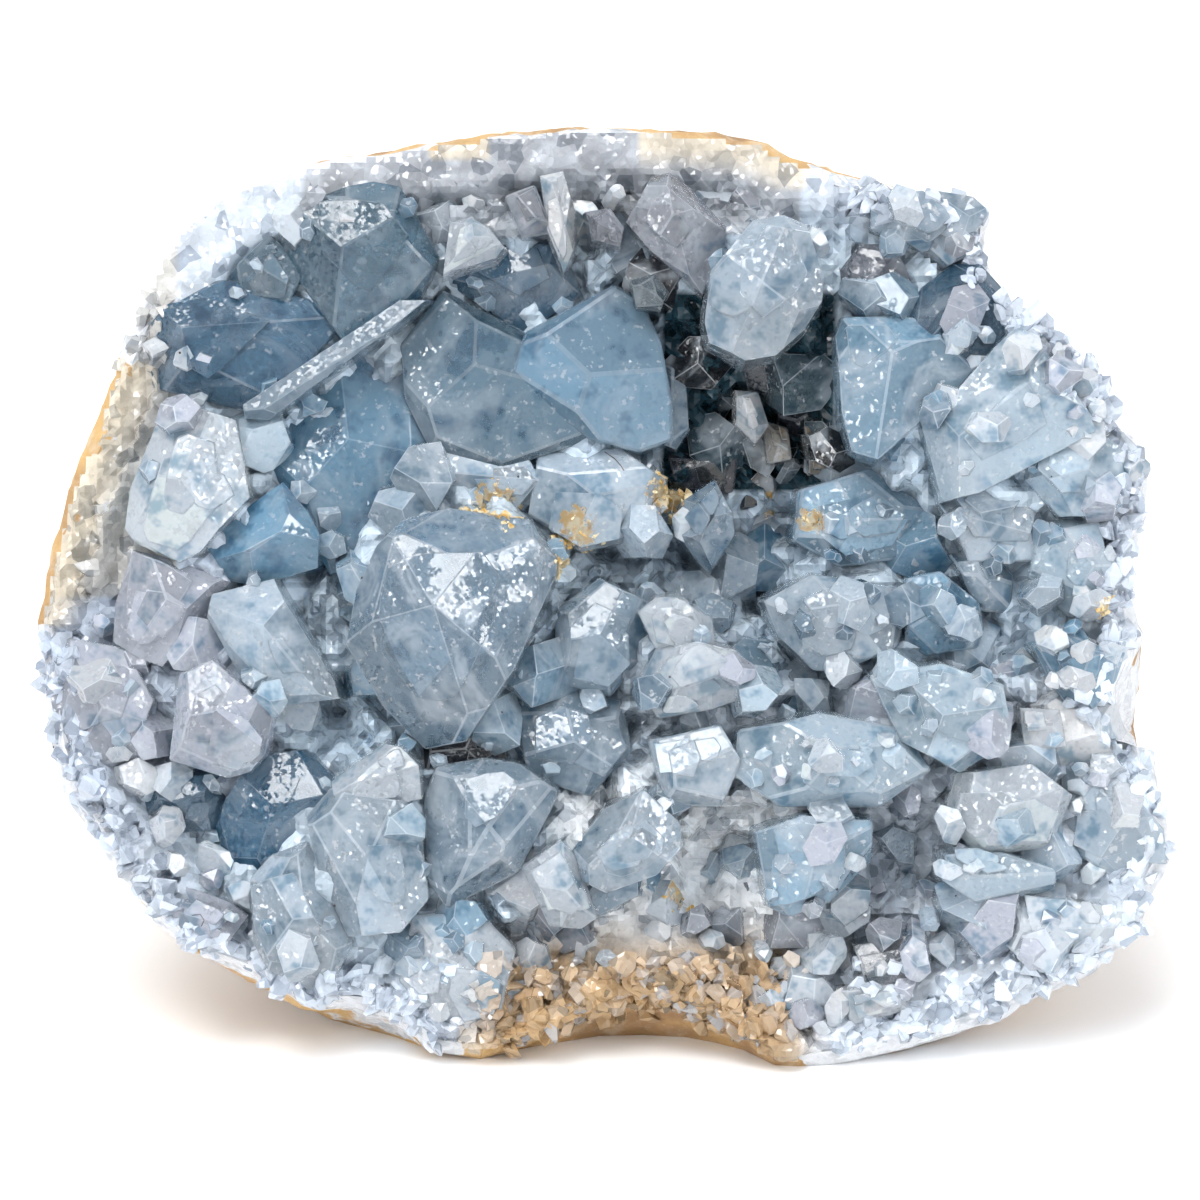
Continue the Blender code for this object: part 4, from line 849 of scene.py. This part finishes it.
def toneAt(u, v, share):
    # the colour that small crystals take from the part of the hollow they grow in
    # in the pocket they take a near-black tone, painted shade
    if inPocket(u, v):
        return "shadowTeal"
    if v > 33 and share > 0.78:
        return random.choice(("white", "smoke", "ice", "slate"))
    if share > 0.88:
        return random.choice(("white", "white", "lilac", "ice"))
    if v < -30 and -12 < u < 30:
        return random.choice(("white", "white", "ice", "smoke"))
    if u > 8 and v < -6:
        return random.choice(("ice", "ice", "mist", "sky", "lilac"))
    if u > 2:
        return random.choice(("mist", "slate", "ice", "haze"))
    if u < -36:
        return random.choice(("ice", "lilac", "mist"))
    return random.choice(("mist", "sky", "haze", "slate"))


def isBusy(u, v, share):
    # the parts of the hollow where many small crystals hide the large ones
    if share > 0.84:
        return 0.0 if sawnEdge(u, v) and share > 0.9 else 0.5
    if u > 4 and -9 < v < 14:
        return 0.35
    if -30 < u < 34 and v < -33:
        return 0.5
    if u > 12 and v <= -9:
        return 0.30
    return 0.0


def smallCrystals(find):
    jitter, lean = smallSpread["jitter"], smallSpread["lean"]
    for kind, places in smallPlaces.items():
        spacing = places["spacing"]
        look = places["look"]
        steps = int(net["columns"] / spacing)
        for row in range(-steps, steps + 1):
            for column in range(-steps, steps + 1):
                u = (column + random.uniform(-jitter, jitter) + 0.5 * (row % 2)) * spacing
                v = (row + random.uniform(-jitter, jitter)) * spacing
                share = shareOfReach(u, v)
                if share > smallSpread["last"]:
                    continue
                here = find(u, v)
                around = [
                    find(u + x, v + y) for x, y in ((look, 0), (-look, 0), (0, look), (0, -look))]
                if here is None or None in around:
                    continue
                height, normal = here
                hollowed = sum(spot[0] for spot in around) / 4 - height
                if hollowed > places["valleyDepth"]:
                    chance = places["inValleys"]
                elif kind == "blocks":
                    chance = 0.0
                else:
                    chance = max(places["onFaces"], isBusy(u, v, share))
                if u < 8 and v > 1 and share < 0.84 and kind != "chips":
                    chance *= smallSpread["amongLarge"]
                if random.random() > chance:
                    continue
                axis = normal + Vector((random.uniform(-lean, lean), random.uniform(-lean, lean), 1))
                length = random.uniform(*places["lengths"])
                width = random.uniform(*places["widths"])
                if kind == "blocks":
                    length = max(length, hollowed + random.uniform(*smallSpread["proud"]))
                foot = Vector((u, v, height - length * places["sunk"]))
                tint = nudged(tones[toneAt(u, v, share)], smallShape["tintSpread"])
                yield smallCrystal(foot, axis.normalized(), length, width, tint)


# the sugary crust of the rim and of the foot between the two feet

def easeStep(value, low, high):
    t = min(1.0, max(0.0, (value - low) / (high - low)))
    return t * t * (3 - 2 * t)


def isArch(u, v):
    # the gap between the two feet
    return -14 < u < 20 and v < -36


def edgeOchre(u, v):
    # how far the ochre rind comes round the edge to the front
    if u < -44 and -3 < v < 24:
        return 1.0
    if isArch(u, v):
        return 1.0
    if (4 < u < 21 and v > 41) or (-17 < u < -11 and v > 44):
        return 0.9
    return 0.0


sugarTints = {
    name: Vector(colour) for name, colour in {
        "inside": (0.60, 0.70, 0.78), "rim": (0.57, 0.62, 0.69), "paleLitLowerRight": (0.68, 0.74, 0.81),
        "paleLitPatch": (0.95, 0.97, 0.98), "shadedLeft": (0.45, 0.50, 0.58),
        "yellowed": (0.54, 0.50, 0.43), "sawnTop": (0.35, 0.36, 0.38), "pocket": (0.012, 0.04, 0.055),
        "rusty": (0.74, 0.62, 0.44), "arch": (0.42, 0.26, 0.11)}.items()}


def sugarTint(u, v, share):
    named = sugarTints
    rim = easeStep(share, 0.84, 0.95)
    pale = named["inside"].lerp(named["rim"], rim)
    # paler towards the lower right: partly paler druse, partly painted light lifting the shade between
    # crystals
    lower = easeStep(-v, 0, 12) * easeStep(u, -4, 12)
    pale = pale.lerp(named["paleLitLowerRight"], lower)
    # a pale patch low in the middle: partly pale druse, partly painted light lifting the shadow of the
    # valley
    patch = easeStep(-v, 14, 20) * easeStep(16 - abs(u - 8), 0, 6)
    pale = pale.lerp(named["paleLitPatch"], patch)
    if u < -36 and v < 8:
        pale = pale.lerp(named["shadedLeft"], 0.8 * easeStep(v, -32, -16))
    if u < -42 and v > 0:
        pale = pale.lerp(named["yellowed"], 0.7)
    if v > 36 and -30 < u < 20:
        pale = pale.lerp(named["sawnTop"], 0.85)
    # painted shade: the druse in the deep pocket is made near black
    if inPocket(u, v) and share < 0.75:
        pale = named["pocket"]
    rusty = 0.7 * easeStep(share, 0.90, 0.97) * edgeOchre(u, v)
    pale = pale.lerp(named["rusty"], rusty)
    arch = easeStep(-v, 31.5, 37) * easeStep(20 - abs(u - 4), 0, 7)
    return pale.lerp(named["arch"], arch * 0.9)


sugarShape = {
    "spacing": 0.6, "thick": 1.4, "overBed": 1.2, "underLook": 3.2, "lookRound": 4.5,
    "directions": 8, "highestBed": 1.0, "overlap": 0.03, "facets": 5, "jitter": 0.5, "turn": 0.35,
    "neighbours": 7, "lastFlush": 0.993, "last": 0.975, "dropFlush": 0.3, "drop": 1.2,
    "dropWidth": 0.02, "sawnHeight": -0.5, "sawnRelief": 0.7,
    # seed spacing, height, slope of the facets and shades of the rim and of the hollow
    "rim": (1.6, (0.2, 1.2), (0.35, 1.0), (0.70, 1.04)),
    "inside": (3.6, (0.6, 3.0), (0.45, 1.3), (0.62, 1.10))}


def sugarSeeds(kind):
    # the tips of the grains: place, height, the way each facet falls and how pale it is
    spacing, heights, falls, shades = sugarShape[kind]
    jitter, turn = sugarShape["jitter"], sugarShape["turn"]
    steps = int(net["columns"] / spacing)
    tree = KDTree((2 * steps + 1) ** 2)
    seeds = []
    for row in range(-steps, steps + 1):
        for column in range(-steps, steps + 1):
            u = column + random.uniform(-jitter, jitter)
            v = row + random.uniform(-jitter, jitter)
            place = Vector((u, v, 0)) * spacing
            tree.insert(place, len(seeds))
            facets = []
            for number in range(sugarShape["facets"]):
                way = (number + random.uniform(-turn, turn)) / sugarShape["facets"] * 2 * math.pi
                fall = random.uniform(*falls)
                facets.append((math.cos(way) * fall, math.sin(way) * fall))
            seeds.append((place, random.uniform(*heights), facets, random.uniform(*shades)))
    tree.balance()
    return tree, seeds


def reliefAt(u, v, grown):
    # the highest grain over a place, and its shade
    tree, seeds = grown
    best = (-9.0, 1.0)
    for place, number, away in tree.find_n(Vector((u, v, 0)), sugarShape["neighbours"]):
        tip, height, facets, shade = seeds[number]
        relief = height - max(x * (u - tip.x) + y * (v - tip.y) for x, y in facets)
        best = max(best, (relief, shade))
    return best


def bedHeight(find, u, v, share, height):
    # the druse fills the gaps between the large crystals part of the way up
    look = sugarShape
    reach = look["lookRound"]
    around = []
    for step in range(look["directions"]):
        way = step * 2 * math.pi / look["directions"]
        spot = find(u + math.cos(way) * reach, v + math.sin(way) * reach)
        if spot:
            around.append(spot[0])
    filled = sum(around) / max(1, len(around)) - look["underLook"]
    return max(min(height, floorHeight(share) + look["overBed"]), min(filled, look["highestBed"]))


def isSugary(u, v, share):
    return share > 0.84 or (v < -31 and -26 < u < 34)


def crustSheet(name, find, kind, finish):
    # a net of points raised into grains and given a back, either the rim or the inside of the hollow
    look = sugarShape
    grown = sugarSeeds(kind)
    bm = bmesh.new()
    tintLayer = bm.verts.layers.float_color.new("tint")
    overlap = look["overlap"] if kind == "inside" else 0.0

    def pointAt(u, v):
        share = shareOfReach(u, v)
        sawn = sawnEdge(u, v)
        flush = sawn or edgeOchre(u, v) > 0
        last = look["lastFlush" if flush else "last"]
        if share > last or isSugary(u, v + 40 * overlap, share - overlap) != (kind == "rim"):
            return None
        here = find(u, v)
        if here is None:
            return None
        relief, shade = reliefAt(u, v, grown)
        height = bedHeight(find, u, v, share, here[0])
        if sawn:
            flat = easeStep(share, 0.86, 0.92)
            height += (look["sawnHeight"] - height) * flat
            relief *= 1 - look["sawnRelief"] * flat
        drop = look["dropFlush" if flush else "drop"]
        height += relief - drop * easeStep(share, last - look["dropWidth"], last)
        vert = bm.verts.new((u, v, height))
        vert[tintLayer] = (*(sugarTint(u, v, share) * shade), 1)
        return vert

    joinNet(bm, look["spacing"], pointAt)
    bmesh.ops.delete(bm, geom=[vert for vert in bm.verts if not vert.link_faces], context="VERTS")
    back = bmesh.ops.extrude_face_region(bm, geom=bm.faces[:], use_keep_orig=True)
    deeper = [item for item in back["geom"] if isinstance(item, bmesh.types.BMVert)]
    bmesh.ops.translate(bm, verts=deeper, vec=(0, 0, -look["thick"]))
    bmesh.ops.transform(bm, matrix=setDown, verts=bm.verts)
    for vert in bm.verts:
        vert.co.z = max(vert.co.z, stand["floorGap"] * 1.5)
    bmesh.ops.triangulate(bm, faces=bm.faces)
    return newPiece(name, bm, finish)


# loose grains and ochre crumbs, scattered by geometry nodes

grainShape = {"shapes": 7, "cuts": 10, "uneven": (0.40, 0.62), "base": 0.6, "block": 2.4}
grainPlaces = {
    "floorGap": 0.0028, "seed": 5, "last": 0.995, "lastAtArch": 1.06, "sunk": 0.2,
    # the shade that some grains take instead of the colour under them, and how much of it
    "smoky": (0.36, 0.40, 0.45), "leastSmoky": -0.9, "mostSmoky": 0.7, "turn": 6.283,
    # grains to the square metre and their sizes in metres
    "rim": {"Density": 800000.0, "Smallest": 0.0004, "Largest": 0.0016},
    "ochre": {"Density": 6000000.0, "Smallest": 0.00012, "Largest": 0.0004}}


def grainShapes(finish):
    group = bpy.data.collections.new("grainShapes")
    for number in range(grainShape["shapes"]):
        planes = []
        for cut in range(grainShape["cuts"]):
            normal = Vector((random.gauss(0, 1), random.gauss(0, 1), random.gauss(0, 1))).normalized()
            planes.append((normal * random.uniform(*grainShape["uneven"]), normal))
        base = (Vector((0, 0, -grainShape["base"])), Vector((0, 0, -1)))
        bm = cutGem([base] + planes, grainShape["block"])
        bmesh.ops.triangulate(bm, faces=bm.faces)
        grain = newPiece(f"grainShape{number}", bm, finish)
        bpy.context.scene.collection.objects.unlink(grain)
        group.objects.link(grain)
    return group


def scatterTree(name):
    tree = bpy.data.node_groups.new(name, "GeometryNodeTree")
    face = tree.interface
    face.new_socket("Geometry", in_out="INPUT", socket_type="NodeSocketGeometry")
    for label, kind in (("Shapes", "Collection"), ("Density", "Float"), ("Smallest", "Float"),
                        ("Largest", "Float"), ("Seed", "Int"), ("Finish", "Material")):
        face.new_socket(label, in_out="INPUT", socket_type="NodeSocket" + kind)
    face.new_socket("Geometry", in_out="OUTPUT", socket_type="NodeSocketGeometry")
    graph = Graph(tree)
    entry = tree.nodes.new("NodeGroupInput")
    given = {socket.name: Wire(graph, socket) for socket in entry.outputs if socket.name}
    share, tint = [
        graph.node("GeometryNodeInputNamedAttribute", {"data_type": kind}, {"Name": name})
        for kind, name in (("FLOAT", "grainy"), ("FLOAT_COLOR", "tint"))]
    points = graph.node("GeometryNodeDistributePointsOnFaces", {}, {
        "Mesh": given["Geometry"], "Density": given["Density"] * share,
        "Seed": given["Seed"]}, "Points")
    smoky = graph.node("FunctionNodeRandomValue", {"data_type": "FLOAT"}, {
        2: grainPlaces["leastSmoky"], 3: grainPlaces["mostSmoky"], "Seed": given["Seed"] + 5}, 1)
    shade = graph.mix(tint, grainPlaces["smoky"], smoky)
    stored = {"data_type": "FLOAT_COLOR", "domain": "POINT"}
    points = graph.node("GeometryNodeStoreNamedAttribute", stored, {
        "Geometry": points, "Name": "tint", "Value": shade})
    turn = graph.node("FunctionNodeRandomValue", {"data_type": "FLOAT_VECTOR"}, {
        0: (0, 0, 0), 1: (grainPlaces["turn"],) * 3, "Seed": given["Seed"]}, 0)
    size = graph.node("FunctionNodeRandomValue", {"data_type": "FLOAT"}, {
        2: given["Smallest"], 3: given["Largest"], "Seed": given["Seed"] + 3}, 1)
    shapes = graph.node("GeometryNodeCollectionInfo", {}, {
        "Collection": given["Shapes"], "Separate Children": True, "Reset Children": True})
    placed = graph.node("GeometryNodeInstanceOnPoints", {}, {
        "Points": points, "Instance": shapes, "Pick Instance": True, "Rotation": turn, "Scale": size})
    whole = graph.node("GeometryNodeRealizeInstances", {}, {"Geometry": placed})
    whole = graph.node("GeometryNodeSetMaterial", {}, {"Geometry": whole, "Material": given["Finish"]})
    leave = tree.nodes.new("NodeGroupOutput")
    tree.links.new(whole.socket, leave.inputs[0])
    return tree


def scatter(name, ground, tree, values):
    # runs the tree on a surface and keeps what it made as a plain mesh
    modifier = ground.modifiers.new("scatter", "NODES")
    modifier.node_group = tree
    for item in tree.interface.items_tree:
        if item.item_type == "SOCKET" and item.in_out == "INPUT" and item.name in values:
            modifier[item.identifier] = values[item.name]
    made = bpy.data.meshes.new_from_object(
        ground.evaluated_get(bpy.context.evaluated_depsgraph_get()))
    bpy.data.objects.remove(ground, do_unlink=True)
    made.name = name
    piece = bpy.data.objects.new(name, made)
    bpy.context.scene.collection.objects.link(piece)
    return piece


def grainGround(find, spacing, grainyAt):
    # the stone's front as a net of points, with how grainy each is and its colour
    bm = bmesh.new()
    tintLayer = bm.verts.layers.float_color.new("tint")
    grainyLayer = bm.verts.layers.float.new("grainy")

    def pointAt(u, v):
        share = shareOfReach(u, v)
        grainy = grainyAt(u, v, share)
        last = grainPlaces["lastAtArch" if isArch(u, v) else "last"]
        if grainy is None or share > last:
            return None
        here = find(u, v)
        if here is None:
            return None
        place = setDown @ Vector((u, v, here[0] - grainPlaces["sunk"]))
        vert = bm.verts.new(place)
        vert[tintLayer] = (*sugarTint(u, v, share), 1)
        vert[grainyLayer] = grainy if place.z > grainPlaces["floorGap"] else 0.0
        return vert

    joinNet(bm, spacing, pointAt)
    mesh = bpy.data.meshes.new("grainGround")
    bm.to_mesh(mesh)
    bm.free()
    ground = bpy.data.objects.new("grainGround", mesh)
    bpy.context.scene.collection.objects.link(ground)
    return ground


def rimGrains(u, v, share):
    # thick in the arch, and along the broken rim except where it is sawn or rusty
    if isArch(u, v):
        return 1.3 * easeStep(1.04 - share, 0, 0.04)
    if share < 0.90:
        return 0.2 if -26 < u < 32 and v < -35 else None
    if share > 0.93 and (sawnEdge(u, v) or edgeOchre(u, v)):
        return 0.0
    return easeStep(share, 0.90, 0.96)


crumbPlaces = {"beyond": 0.3, "bareEdge": 0.25, "patches": 1.1, "patchSize": 1.1, "patchLevel": 3}


def crumbly(u, v, share):
    # loose crumbs on the rusty patches, thickest in the middle
    look = crumbPlaces
    nearest = max(1 - math.hypot(u - x, v - y) / reach for x, y, reach in stains)
    if nearest < -look["beyond"]:
        return None
    patch = noise.noise(Vector((u, v, look["patchLevel"])) * look["patchSize"])
    return max(0.0, nearest - look["bareEdge"] + look["patches"] * patch)


# dust on the stone: two fibres and a few dark specks

dust = {
    "thick": 0.045, "corners": 5, "flatness": 0.6, "speck": 0.16, "speckSizes": (0.5, 1),
    "colour": (0.02, 0.02, 0.025), "fluff": (0.10, 0.07, 0.06), "fluffScale": 3000, "rough": 0.8,
    "fibres": [
        [(-1.7, 15.4), (-0.6, 15.3), (0.5, 14.9), (1.5, 14.2), (2.1, 13.5), (2.4, 13.0)],
        [(-40.5, -31.3), (-39.7, -31.2), (-39.3, -31.8), (-39.6, -32.4), (-40.3, -32.6)]],
    "specks": [
        (-55.0, -14.8), (23.6, -28.8), (-23.6, 2.2), (6.9, -7.6), (-2.6, -7.6), (35.6, -29.6),
        (-9.8, -11.2), (-8.2, 12.4), (12.4, -2.6), (-26.4, -30.4), (44.6, 12.2), (-41.8, 24.6)]}


def dustMaterial(name):
    made, graph, place = newMaterial(name)
    fluff = graph.ease(graph.noise(place, dust["fluffScale"], 2), 0.4, 0.6)
    finishMaterial(graph, {
        "Base Color": graph.mix(dust["colour"], dust["fluff"], fluff), "Roughness": dust["rough"]})
    return made


def dustOnStone(find, finish):
    bm = bmesh.new()
    corners, thick = dust["corners"], dust["thick"]
    for fibre in dust["fibres"]:
        rings = []
        for u, v in fibre:
            middle = Vector((u, v, find(u, v)[0] + thick))
            ring = []
            for corner in range(corners):
                way = corner * 2 * math.pi / corners
                around = Vector((math.cos(way), math.sin(way), dust["flatness"] * math.sin(way)))
                ring.append(bm.verts.new(middle + around * thick))
            rings.append(ring)
        for ring, following in zip(rings, rings[1:]):
            for corner in range(corners):
                bm.faces.new((
                    ring[corner - 1], ring[corner], following[corner], following[corner - 1]))
        bm.faces.new(rings[0])
        bm.faces.new(rings[-1])
    for u, v in dust["specks"]:
        place = Matrix.Translation((u, v, find(u, v)[0]))
        size = dust["speck"] * random.uniform(*dust["speckSizes"])
        bmesh.ops.create_icosphere(bm, subdivisions=1, radius=size, matrix=place)
    bmesh.ops.transform(bm, matrix=setDown, verts=bm.verts)
    return newPiece("dust", bm, finish)


# the rock wall

wallShape = {
    "cell": 0.0016, "rounds": 3, "lumps": 0.0005, "lumpScale": 260, "pits": 0.00025, "pitScale": 900,
    "inset": 0.0001, "restingHeight": 0.002, "rindStart": 1.5, "rindFull": 5, "paleSide": 5}


def rockSkin(finish):
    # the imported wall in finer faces, roughened, with a note of where its ochre rind lies
    bm = bmesh.new()
    bm.from_mesh(frame["nodes"]["rock_wall"].data)
    bmesh.ops.remove_doubles(bm, verts=bm.verts, dist=1e-6)
    for turn in range(wallShape["rounds"]):
        long = [edge for edge in bm.edges if edge.calc_length() > wallShape["cell"]]
        bmesh.ops.subdivide_edges(bm, edges=long, cuts=1, use_grid_fill=False)
        bmesh.ops.triangulate(bm, faces=bm.faces)
    bm.normal_update()
    skinLayer = bm.verts.layers.float.new("skin")
    for vert in bm.verts:
        u, v, w = liftOff @ vert.co
        facing = vert.normal.dot(outward)
        share = shareOfReach(u, v)
        front = easeStep(facing, 0.1, 0.5)
        paler = wallShape["paleSide"] * max(easeStep(u, 22, 40), 0.5 * isArch(u, v))
        behind = easeStep(-w, wallShape["rindStart"] + paler, wallShape["rindFull"] + paler)
        comesRound = easeStep(share, 0.93, 0.985) * edgeOchre(u, v)
        vert[skinLayer] = (1 - front) * max(behind, comesRound) + front * comesRound
    for vert in bm.verts:
        lift = noise.noise(vert.co * wallShape["lumpScale"]) * wallShape["lumps"]
        lift += noise.noise(vert.co * wallShape["pitScale"]) * wallShape["pits"]
        resting = easeStep(vert.co.z, 0.0, wallShape["restingHeight"])
        vert.co += vert.normal * (lift - wallShape["inset"]) * resting
        vert.co.z = max(0.0, vert.co.z)
    return newPiece("rockSkin", bm, finish)


# making everything

materials = {kind: crystalMaterial(kind + "Celestite", look) for kind, look in crystalLooks.items()}
materials["sugar"] = sugarMaterial("sugaryCelestite")
materials["crumbs"] = crumbMaterial("ochreCrumb")
materials["rock"] = rockMaterial("rockRind")
materials["dust"] = dustMaterial("darkLint")
print("materials made")

large = []
for kind, members in crystals.items():
    gems = [gem for crystal in members.values() for gem in largeCrystal(kind, *crystal)]
    large.append(growTogether(kind + "Crystals", gems, materials[kind]))
    declare(large[-1], "crystal_crust")

stone = [frame["nodes"][name].data for name in ("crystal_crust", "rock_wall")]
findStone = surfaceFinder(stone)
gems = list(smallCrystals(surfaceFinder(stone[:1])))
small = growTogether("smallCrystals", gems, materials["small"])
declare(small, "crystal_crust")
declare(crustSheet("sugarCrust", findStone, "rim", materials["sugar"]), "crystal_crust")
declare(crustSheet("druse", findStone, "inside", materials["sugar"]), "crystal_crust")

findLooks = surfaceFinder([piece.data for piece in large + [small]] + stone[1:])
tree = scatterTree("grainScatter")
for name, finish, places, find, spacing, grainyAt in (
        ("rimGrains", "sugar", "rim", findStone, 1.0, rimGrains),
        ("ochreCrumbs", "crumbs", "ochre", findLooks, 0.3, crumbly)):
    shapes = grainShapes(materials[finish])
    grains = scatter(name, grainGround(find, spacing, grainyAt), tree, {
        "Shapes": shapes, "Seed": grainPlaces["seed"], "Finish": materials[finish],
        **grainPlaces[places]})
    declare(grains, "crystal_crust")
    for grain in list(shapes.objects):
        bpy.data.objects.remove(grain, do_unlink=True)

declare(dustOnStone(findLooks, materials["dust"]), "crystal_crust")
declare(rockSkin(materials["rock"]), "rock_wall")


# floor, lights and camera

studio = {
    "floorSize": 8.0, "floorColour": (0.94, 0.94, 0.94), "floorRough": 0.9,
    "horizon": (0.42, 0.44, 0.47), "above": (1.00, 1.03, 1.08),
    "softboxes": [
        # direction, how wide as the cosine of its edge and of its even middle, and how bright
        ((-0.20, -0.40, 0.90), 0.960, 0.985, 11.0),
        ((-0.67, -0.63, 0.40), 0.985, 0.995, 14.0),
        ((0.68, -0.54, 0.49), 0.985, 0.995, 14.0)],
    "viewDistance": 0.4, "lens": 120.0, "sensor": 36, "nearest": 0.01, "bounces": 5}


def makeSky():
    # soft light that grows stronger from the horizon up, with three softboxes in it
    world = bpy.data.worlds.new("studioSky")
    world.use_nodes = True
    world.node_tree.nodes.clear()
    graph = Graph(world.node_tree)
    direction = graph.node("ShaderNodeTexCoord", output="Generated")
    up = graph.node("ShaderNodeSeparateXYZ", {}, {0: direction}, 2)
    light = graph.mix(studio["horizon"], studio["above"], graph.ease(up, -0.1, 0.8))
    for towards, rim, middle, strength in studio["softboxes"]:
        aim = graph.vector("DOT_PRODUCT", direction, tuple(Vector(towards).normalized()), "Value")
        light = graph.mix(light, (strength,) * 3, graph.ease(aim, rim, middle))
    background = graph.node("ShaderNodeBackground", {}, {"Color": light})
    graph.node("ShaderNodeOutputWorld", {}, {"Surface": background})
    world.cycles.sampling_method = "NONE"
    bpy.context.scene.world = world


def makeStudio():
    bm = bmesh.new()
    bmesh.ops.create_grid(bm, x_segments=1, y_segments=1, size=studio["floorSize"] / 2)
    made, graph, place = newMaterial("paleFloor")
    finishMaterial(graph, {
        "Base Color": (*studio["floorColour"], 1), "Roughness": studio["floorRough"]})
    floor = newPiece("floor", bm, made)
    bpy.context.scene.view_settings.view_transform = "Standard"
    bpy.context.scene.cycles.max_bounces = studio["bounces"]


def makeCamera():
    middle = setDown @ Vector((0, 0, 0))
    camera = bpy.data.cameras.new("camera")
    camera.lens = studio["lens"]
    camera.sensor_width = studio["sensor"]
    camera.clip_start = studio["nearest"]
    holder = bpy.data.objects.new("camera", camera)
    holder.location = middle + outward * studio["viewDistance"]
    holder.rotation_euler = (-outward).to_track_quat("-Z", "Y").to_euler()
    bpy.context.scene.collection.objects.link(holder)
    bpy.context.scene.camera = holder


makeSky()
makeStudio()
makeCamera()
print("studio made")
